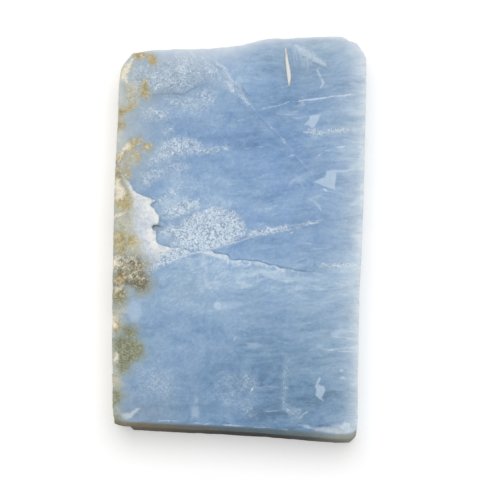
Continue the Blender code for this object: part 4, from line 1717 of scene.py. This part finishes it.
        # Painted shade under the pit's roof and at its crust end, over a floor painted lit
        roof = (y + grain * 0.1).eased(1.25, 1.75) + (-x).eased(16.4, 17.2)
        pit = kit.mix((roof * 0.8 + 0.15).held(), *self.pit)
        return kit.mix(kit.mark("slot").eased(-0.12, 0.10) * 0.85, colour, pit)

    def edge_glow_and_haze(self, kit: NodeKit, place: Signal, colour: Signal, streaks: Signal) -> Signal:
        """The thin clean side and the far edge get a painted glow of light, and the crust a pale haze of
        its own.

        Args:
            kit: The material's nodes.
            place: Places in millimetres.
            colour: The colour of the stone.
            streaks: The streaks' strength.

        Returns:
            The colour with the painted glow and the haze.
        """
        uneven = 1.0 + kit.noise(place, 0.5, 4.0, 0.65) * 0.5
        feathered = uneven + streaks * 0.8
        # Painted glow of light along the thin clean edge and the far edge
        colour = kit.mix((kit.mark("clean_glow") * feathered).held(), colour, self.edge_glow)
        colour = kit.mix((kit.mark("far_glow") * uneven).held(), colour, self.far_edge_glow)
        return kit.mix((kit.mark("crust_haze") * uneven).held(), colour, self.crust.haze)

    def crust_colour(self, kit: NodeKit, place: Signal, colour: Signal) -> tuple[Signal, Signal]:
        """Olive, moss, ochre and cream growths, laid over each other with soft edges broken by noise.

        Args:
            kit: The material's nodes.
            place: Places in millimetres.
            colour: The colour under the crust.

        Returns:
            The colour with the crust, and the height of its lumps.
        """
        look = self.crust
        cloud = kit.noise(place, 0.45, 5.0, 0.65, 0.5)
        crumb = kit.noise(place, 1.35, 4.0, 0.7, 1.2)
        worms = kit.noise(place, 1.0, 3.0, 0.65, 2.4)
        mottle = crumb * 0.9 + worms * 0.6 + cloud * 0.4
        cover = {
            tint: (kit.mark(tint.value) + cloud * 0.9 + crumb * 0.5).eased(*margin)
            for tint, margin in (
                (Tint.SAND, (-1.4, 0.8)), (Tint.OLIVE, (-0.9, 0.7)), (Tint.MOSS, (-1.1, 0.9)),
                (Tint.OCHRE, (-0.5, 0.6)), (Tint.CREAM, (-0.5, 0.5)),
            )
        }
        sand = kit.shaded(0.5 + mottle * 0.7, look.sand, 0.15, 0.85)
        rind = (kit.mark("rind") * (1.0 + cloud * 1.6)).held()
        colour = kit.mix(kit.math("MAXIMUM", cover[Tint.SAND] * 0.75, rind), colour, sand)
        halo = (kit.math("MAXIMUM", kit.mark("olive"), kit.mark("moss")) + cloud * 1.2).eased(-2.2, 0.3)
        low = 1.0 - kit.axes(place)[1].eased(-14.0, -4.0)
        colour = kit.mix(halo * (low * 0.45 + 0.15), colour, look.halo)
        outer = (-kit.axes(place)[0]).eased(20.5, 23.5)
        shadow = (kit.mark("moss") + cloud * 1.2).eased(-2.6, 0.2)
        colour = kit.mix(shadow * (0.50 - outer * 0.3), colour, look.moss_halo)
        olive = kit.shaded(0.5 + mottle * 0.9, look.olive, 0.1, 0.88)
        straw = kit.shaded(0.5 + mottle * 0.8, look.straw, 0.1, 0.88)
        colour = kit.mix(cover[Tint.OLIVE] * 0.82, colour, kit.mix(low, straw, olive))
        lumpy = worms * 0.7 + crumb * 0.6 + cloud
        moss = kit.shaded(0.46 + outer * 0.16 + lumpy * 0.9, look.moss, 0.2, 0.78)
        colour = kit.mix(cover[Tint.MOSS] * 0.88, colour, moss)
        ochre = kit.shaded(0.5 + mottle * 0.8, look.ochre, 0.1, 0.82)
        colour = kit.mix(cover[Tint.OCHRE] * 0.74, colour, ochre)
        cream = kit.mix((mottle * 1.1 + 0.72).held(), *look.cream)
        colour = kit.mix(cover[Tint.CREAM] * 0.94, colour, cream)
        grown = kit.math("MAXIMUM", cover[Tint.OLIVE], cover[Tint.MOSS])
        grit = (worms * 0.7 + crumb * 0.6 + cloud * 0.3).eased(0.24, 0.5) * kit.math("MAXIMUM", grown, rind)
        return kit.mix(grit * 0.45, colour, look.moss[-1]), crumb * grown

    def side_colour(self, kit: NodeKit, place: Signal, colour: Signal, grain: Signal) -> Signal:
        """The near side's stain with painted shade, the far side's stain, the crusted side and the frosted
        clean side.

        Args:
            kit: The material's nodes.
            place: Places in millimetres.
            colour: The colour of the face.
            grain: Fine noise.

        Returns:
            The colour of the whole stone.
        """
        look = self.sides
        x, y, z = kit.axes(place)
        cloud = kit.noise(place, 0.35, 4.0, 0.6)
        crumb = kit.noise(place, 1.6, 4.0, 0.65)
        across = x / WIDTH + 0.5 + cloud * 0.04
        # The near side's stain, darkened with painted shade that deepens towards its foot
        stain_and_shade_ramps = (look.upper, look.lower)
        upper, lower = (kit.ramp(across, list(zip(look.places, stain))) for stain in stain_and_shade_ramps)
        depth = 1.0 - z / THICKNESS + cloud * 0.12 + crumb * 0.05
        stain_and_shade = kit.mix(depth.eased(0.0, 0.40), upper, lower)
        stain_and_shade = kit.mix((crumb * 0.6).held() * 0.4, stain_and_shade, look.drip)
        side = (kit.mark("near_side") + grain * 0.2).eased(0.15, 0.9)
        colour = kit.mix(side, colour, stain_and_shade)
        far = kit.mix((0.40 + cloud * 1.3).held(), look.far[0], look.far[1])
        far = kit.mix((crumb * 0.8 + 0.08).held(), far, look.far[2])
        colour = kit.mix(kit.mark("far_side").eased(0.35, 0.65) * 0.9, colour, far)
        husk = kit.ramp(0.5 + cloud * 0.55 + crumb * 0.35, list(look.husk))
        colour = kit.mix(kit.mark("crust_side").eased(0.35, 0.65) * 0.85, colour, husk)
        layers = kit.noise(kit.vector(x, y * 0.25, z * 0.9), 1.0, 4.0, 0.6, 0.5)
        clean = kit.mix((0.4 + layers * 0.8 + cloud * 0.5).held(), *look.clean)
        return kit.mix(kit.mark("clean_side").eased(0.35, 0.65) * 0.8, colour, clean)


# The stone


@dataclass(frozen=True)
class Sheet:
    """A rectangle of the stone's texture map.

    Attributes:
        low: Its low corner.
        high: Its high corner.
    """

    low: tuple[float, float]
    high: tuple[float, float]

    def at(self, across: Array, up: Array) -> Array:
        """Places on the map for shares across and up the rectangle."""
        low, high = np.array(self.low), np.array(self.high)
        return low + np.stack([across, up], axis=-1) * (high - low)


@dataclass
class Slab:
    """The stone as one closed skin: its face, its sides and its sawn back.

    Attributes:
        outline: The slab's plan.
        relief: Its heights.
        marks: Its coloured marks.
        finish: Its material.
        creep: How far the near side's stain and painted shade creep onto the face, for places across, in
            millimetres.
        far_fade: How fast the far edge's painted glow fades, for places across, in millimetres.
        clean_fade: The same for the clean edge's painted glow, for places along.
        columns: Cells of the face across the slab.
        rows: Cells of the face along it.
        levels: Depths of the sides' rings, as shares of the slab's thickness.
        margin: How far the skin stays inside the solid's box, in millimetres.
        lap: How far the back's grid stops short of the sides, in millimetres.
        rounding: Depth, as a share of the thickness, at which the rim's inset has eased away.
    """

    outline: Outline = field(default_factory=Outline)
    relief: Relief = field(default_factory=lambda: Relief(Outline(), Ledge()))
    marks: Marks = field(default_factory=Marks)
    finish: OpalFinish = field(default_factory=OpalFinish)
    creep: Places = ((-25.0, 1.3), (-15.0, 1.2), (-5.0, 1.3), (6.0, 1.4), (15.0, 1.6), (23.0, 1.5))
    far_fade: Places = (
        (-25.0, 1.0), (-15.0, 2.5), (-5.0, 2.8), (2.0, 1.6), (12.0, 1.1), (20.0, 1.4), (25.0, 2.6),
    )
    clean_fade: Places = ((-38.0, 2.1), (-24.0, 1.9), (-14.0, 3.0), (0.0, 2.9), (22.0, 3.2), (38.0, 3.3))
    columns: int = 208
    rows: int = 328
    levels: tuple[float, ...] = (0.025, 0.07, 0.14, 0.24, 0.36, 0.49, 0.62, 0.75, 0.88, 0.97, 1.0)
    margin: float = 0.005
    lap: float = 1.6
    rounding: float = 0.14

    @staticmethod
    def spaced(cells: int) -> Array:
        """Shares from 0 to 1, a little closer at both ends: t less 0.15 sin(2 pi t) / (2 pi)."""
        share = np.linspace(0.0, 1.0, cells + 1)
        return share - 0.15 * np.sin(2.0 * np.pi * share) / (2.0 * np.pi)

    @staticmethod
    def rim(columns: int, rows: int) -> Array:
        """Numbers of a grid's outer points, once round it from the near corner at the crust."""
        grid = np.arange((columns + 1) * (rows + 1)).reshape(rows + 1, columns + 1)
        return np.concatenate([grid[0, :-1], grid[:-1, -1], grid[-1, :0:-1], grid[:0:-1, 0]])

    @staticmethod
    def cells(columns: int, rows: int) -> Array:
        """The four corners of every cell of a grid, anticlockwise."""
        first = (np.arange(rows)[:, None] * (columns + 1) + np.arange(columns)).ravel()
        return np.stack([first, first + 1, first + columns + 2, first + columns + 1], axis=1)

    def grid(self, every: int) -> tuple[Array, Array]:
        """Shares across and along for the face's grid points, or only for every so many of its lines."""
        across, along = np.meshgrid(self.spaced(self.columns)[::every], self.spaced(self.rows)[::every])
        return across.ravel(), along.ravel()

    def face_points(self) -> tuple[Array, Array, Array]:
        """Points of the broken face.

        Returns:
            The shares across and along, and the points in millimetres.
        """
        across, along = self.grid(1)
        inset = np.full(len(across), self.relief.inset)
        plan = self.outline.shrink(self.outline.plan(across, along), inset)
        inner = self.relief.border(across, along) > 0.0
        plan = np.where(inner[:, None], self.relief.ledge.drawn(plan), plan)
        height = self.relief.face(across, along, plan, self.marks.frosting(plan))
        points = np.column_stack([plan, height])
        return across, along, self.relief.roughened(points, across, along)

    def side_points(self, across: Array, along: Array, top: Array) -> Array:
        """Rings of points down the sides, from just under the face's rim to the sawn back.

        A ring's height is the rim's times one less its level. Its inset eases away below the rim, and grows
        a little again at the foot.

        Args:
            across: Shares across for the rim's points.
            along: Shares along for the rim's points.
            top: Heights of the rim.

        Returns:
            The rings' points in millimetres, ring after ring.
        """
        plan = self.outline.plan(across, along)
        rings = []
        for level in self.levels:
            inset = self.relief.inset * max(1.0 - level / self.rounding, 0.0) ** 2
            inset += 0.06 * max(level - 0.9, 0.0) / 0.1
            shrunk = self.outline.shrink(plan, np.full(len(plan), inset))
            points = np.column_stack([shrunk, top * (1.0 - level)])
            rings.append(self.relief.roughened(points, across, along))
        return np.concatenate(rings)

    def build(self) -> bpy.types.Object:
        """Build the stone.

        Returns:
            The finished object, which carries its marks as attributes and its own texture map.
        """
        across, along, face = self.face_points()
        rim = self.rim(self.columns, self.rows)
        sides = self.side_points(across[rim], along[rim], face[rim, 2])
        back_across, back_along = self.grid(2)
        back = self.back_points(back_across, back_along)
        low, high = (np.array(corner) / MM for corner in CAD_BOX)
        points = np.clip(np.concatenate([face, sides, back]), low + self.margin, high - self.margin)
        points[-len(rim) - len(back):, 2] = 0.0
        rings = len(self.levels)
        shares = (
            np.concatenate([across, np.tile(across[rim], rings), back_across]),
            np.concatenate([along, np.tile(along[rim], rings), back_along]),
        )
        down = smooth(0.0, 0.1, np.array(self.levels))
        skin = np.concatenate([np.zeros(len(face)), np.repeat(down, len(rim)), np.ones(len(back))])
        item = self.mesh_object(points, rim)
        self.write_marks(item.data, points, shares, skin, len(back))
        item.data.materials.append(self.finish.material())
        return item

    def back_points(self, across: Array, along: Array) -> Array:
        """Points of the flat sawn back, which stops short of the sides."""
        plan = self.outline.plan(across, along)
        return on_plane(self.outline.shrink(plan, np.full(len(plan), self.lap)))

    def mesh_object(self, points: Array, rim: Array) -> bpy.types.Object:
        """Join the points into one closed mesh with its texture map.

        Args:
            points: Face, side rings and back, in millimetres.
            rim: Numbers of the face's outer points.

        Returns:
            The object.
        """
        count = len(rim)
        halves = (self.columns // 2, self.rows // 2)
        face_count = (self.columns + 1) * (self.rows + 1)
        face = self.cells(self.columns, self.rows)
        rings = np.concatenate([rim, face_count + np.arange(len(self.levels) * count)]).reshape(-1, count)
        after = np.roll(rings, -1, axis=1)
        walls = np.stack([rings[:-1], rings[1:], after[1:], after[:-1]], axis=-1).reshape(-1, 4)
        back_start = face_count + len(self.levels) * count
        back = back_start + self.cells(*halves)[:, ::-1]
        inner = back_start + self.rim(*halves)
        outer = rings[-1]
        lap = np.stack([
            outer[::2], inner, np.roll(inner, -1), np.roll(outer, -2)[::2], outer[1::2],
        ], axis=1)
        mesh = bpy.data.meshes.new("opal_slab_stone")
        faces = face.tolist() + walls.tolist() + lap.tolist() + back.tolist()
        mesh.from_pydata((points * MM).tolist(), [], faces)
        mesh.shade_smooth()
        flat = np.zeros(len(faces), bool)
        flat[len(face) + len(walls):] = True
        mesh.attributes.new("sharp_face", "BOOLEAN", "FACE").data.foreach_set("value", flat)
        self.write_map(mesh, points, face, lap, back, count)
        mesh.validate()
        item = bpy.data.objects.new("opal_slab_stone", mesh)
        bpy.context.scene.collection.objects.link(item)
        return item

    def write_map(
        self, mesh: bpy.types.Mesh, points: Array, face: Array, lap: Array, back: Array, count: int
    ) -> None:
        """Lay the face, each side and the back out on the stone's texture map.

        The face and the back are laid out by their plan, and a side by its length and depth.

        Args:
            mesh: The stone's mesh.
            points: Its points in millimetres.
            face: Corners of the face's cells.
            lap: Corners of the cells between the sides and the back.
            back: Corners of the back's cells.
            count: Points round the rim.
        """
        plan = points[:, :2] / np.array([self.outline.width, self.outline.length]) + 0.5
        front = Sheet((0.01, 0.01), (0.60, 0.96)).at(*plan[face.ravel()].T)
        turned = plan * np.array([-1.0, 1.0]) + np.array([1.0, 0.0])
        below = Sheet((0.835, 0.64), (0.99, 0.96))
        strips = (
            (self.columns, Sheet((0.62, 0.01), (0.68, 0.60))),
            (self.rows, Sheet((0.69, 0.01), (0.75, 0.96))),
            (self.columns, Sheet((0.76, 0.01), (0.82, 0.60))),
            (self.rows, Sheet((0.835, 0.01), (0.895, 0.62))),
        )
        depth = np.array((0.0, *self.levels))
        walls = np.zeros((len(self.levels), count, 4, 2))
        start = 0
        for cells, strip in strips:
            for corner, (ring, step) in enumerate(((0, 0), (1, 0), (1, 1), (0, 1))):
                share = (np.arange(cells) + step) / cells
                across, up = np.broadcast_arrays(depth[ring:len(self.levels) + ring, None], share)
                walls[:, start:start + cells, corner] = strip.at(across, up)
            start += cells
        laps = below.at(*turned[lap.ravel()].T)
        backs = below.at(*turned[back.ravel()].T)
        places = np.concatenate([front, walls.reshape(-1, 2), laps, backs])
        mesh.uv_layers.new(name="OFBake").data.foreach_set("uv", places.astype(np.float32).ravel())

    def write_marks(
        self, mesh: bpy.types.Mesh, points: Array, shares: tuple[Array, Array], skin: Array, back_count: int
    ) -> None:
        """Store every mark and side weight as an attribute of the mesh.

        Args:
            mesh: The stone's mesh.
            points: Its points in millimetres.
            shares: Shares across and along for each point.
            skin: 0 on the face, 1 on the sides and the back.
            back_count: How many points, the last ones, belong to the back.
        """
        found = self.marks.read(points[:, :2])
        across, along = shares
        on_back = np.zeros(len(points))
        on_back[-back_count:] = 1.0
        edge = self.relief.sides(across, along, 0.5)
        total = sum(edge.values()) + 1e-9
        for name, weight in edge.items():
            found[f"{name}_side"] = skin * (1.0 - on_back) * weight / total
        width, length = self.outline.width, self.outline.length
        creeping = 1.0 - smooth(0.1, 1.0, along * length / read_table(self.creep, points[:, 0]))
        found["near_side"] = np.maximum(found["near_side"], creeping * (1.0 - on_back))
        # Painted glow along the clean and far edges, fading inwards
        fade = read_table(self.clean_fade, points[:, 1])
        found["clean_glow"] = 0.95 * np.exp(-(1.0 - across) * width / fade)
        fade = read_table(self.far_fade, points[:, 0])
        found["far_glow"] = 0.9 * np.exp(-(1.0 - along) * length / fade)
        bare = 1.0 - 0.65 * smooth(12.0, 16.0, points[:, 1])
        found["rind"] = 0.85 * bare * self.relief.sides(across, along, 1.1)["crust"]
        reach = read_table(self.marks.haze_reach, points[:, 1])
        share = read_table(self.marks.haze_share, points[:, 1])
        found["crust_haze"] = share * np.exp(-across * width / reach)
        for name, values in found.items():
            mesh.attributes.new(name, "FLOAT", "POINT").data.foreach_set("value", values.astype(np.float32))


# The studio


@dataclass(frozen=True)
class Studio:
    """A plain pale floor, soft light from above and the camera.

    Attributes:
        target: Point that the camera looks at, in metres.
        distance: Distance of the camera from it, in metres.
        elevation: Camera's height above the horizon in degrees.
        lens: Focal length in millimetres.
        sky: Strength of the even light all round.
        panel_power: Power of the large soft panel overhead, in watts.
        panel_size: Width of the panel in metres.
        panel_height: Height of the panel above the slab in metres.
        panel_tilt: How far the panel stands behind the slab, in degrees from straight up.
        floor_half: Half the width of the floor in metres.
        floor_level: Height of the floor in metres, a hair below the stone.
        floor_shade: The floor's lightness, as a linear value.
        floor_glow: Strength of the floor's own light.
    """

    target: tuple[float, float, float] = (-0.0001, -0.00135, 0.008)
    distance: float = 0.468
    elevation: float = 78.0
    lens: float = 180.0
    sky: float = 0.45
    panel_power: float = 6.0
    panel_size: float = 1.0
    panel_height: float = 0.9
    panel_tilt: float = 14.0
    floor_half: float = 1.5
    floor_level: float = -0.00002
    floor_shade: float = 0.80
    floor_glow: float = 0.29

    def build(self) -> None:
        """Build the floor, the light and the camera."""
        self.floor()
        self.light()
        self.camera()

    def floor(self) -> None:
        """A wide white sheet under the stone, lit a little from below as on a light table."""
        mesh = bpy.data.meshes.new("floor")
        half, level = self.floor_half, self.floor_level
        corners = [(-half, -half, level), (half, -half, level), (half, half, level), (-half, half, level)]
        mesh.from_pydata(corners, [], [(0, 1, 2, 3)])
        sheet = bpy.data.objects.new("floor", mesh)
        bpy.context.scene.collection.objects.link(sheet)
        material = bpy.data.materials.new("floor_white")
        material.use_nodes = True
        shader = material.node_tree.nodes["Principled BSDF"]
        shader.inputs["Base Color"].default_value = (*[self.floor_shade] * 3, 1.0)
        shader.inputs["Roughness"].default_value = 0.9
        shader.inputs["Specular IOR Level"].default_value = 0.0
        shader.inputs["Emission Color"].default_value = (1.0, 1.0, 1.0, 1.0)
        shader.inputs["Emission Strength"].default_value = self.floor_glow
        mesh.materials.append(material)

    def light(self) -> None:
        """An even white sky, and a large panel a little behind the slab."""
        world = bpy.data.worlds.new("studio")
        world.use_nodes = True
        background = world.node_tree.nodes["Background"]
        background.inputs["Color"].default_value = (1.0, 1.0, 1.0, 1.0)
        background.inputs["Strength"].default_value = self.sky
        bpy.context.scene.world = world
        lamp = bpy.data.lights.new("overhead_panel", "AREA")
        lamp.shape = "SQUARE"
        lamp.size = self.panel_size
        lamp.energy = self.panel_power
        panel = bpy.data.objects.new("overhead_panel", lamp)
        tilt = math.radians(self.panel_tilt)
        panel.location = (0.0, self.panel_height * math.tan(tilt), self.panel_height)
        panel.rotation_euler = (-tilt, 0.0, 0.0)
        bpy.context.scene.collection.objects.link(panel)
        bpy.context.scene.view_settings.view_transform = "Standard"

    def camera(self) -> None:
        """A long lens that looks down at the slab from just on its near side."""
        data = bpy.data.cameras.new("camera")
        data.lens = self.lens
        data.sensor_width = 36.0
        data.clip_start, data.clip_end = 0.01, 10.0
        camera = bpy.data.objects.new("camera", data)
        angle = math.radians(self.elevation)
        x, y, z = self.target
        camera.location = (x, y - self.distance * math.cos(angle), z + self.distance * math.sin(angle))
        camera.rotation_euler = (math.radians(90.0 - self.elevation), 0.0, 0.0)
        bpy.context.scene.collection.objects.link(camera)
        bpy.context.scene.camera = camera


def main() -> None:
    """Build the stone and the studio, and report each piece."""
    logging.basicConfig(level=logging.INFO, format="%(name)s: %(message)s")
    stone = Slab().build()
    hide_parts("opal_slab")
    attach(stone, "root")
    log.info("%s: %d faces", stone.name, len(stone.data.polygons))
    Studio().build()
    log.info("studio: floor, panel and camera")


if __name__ == "__main__":
    main()
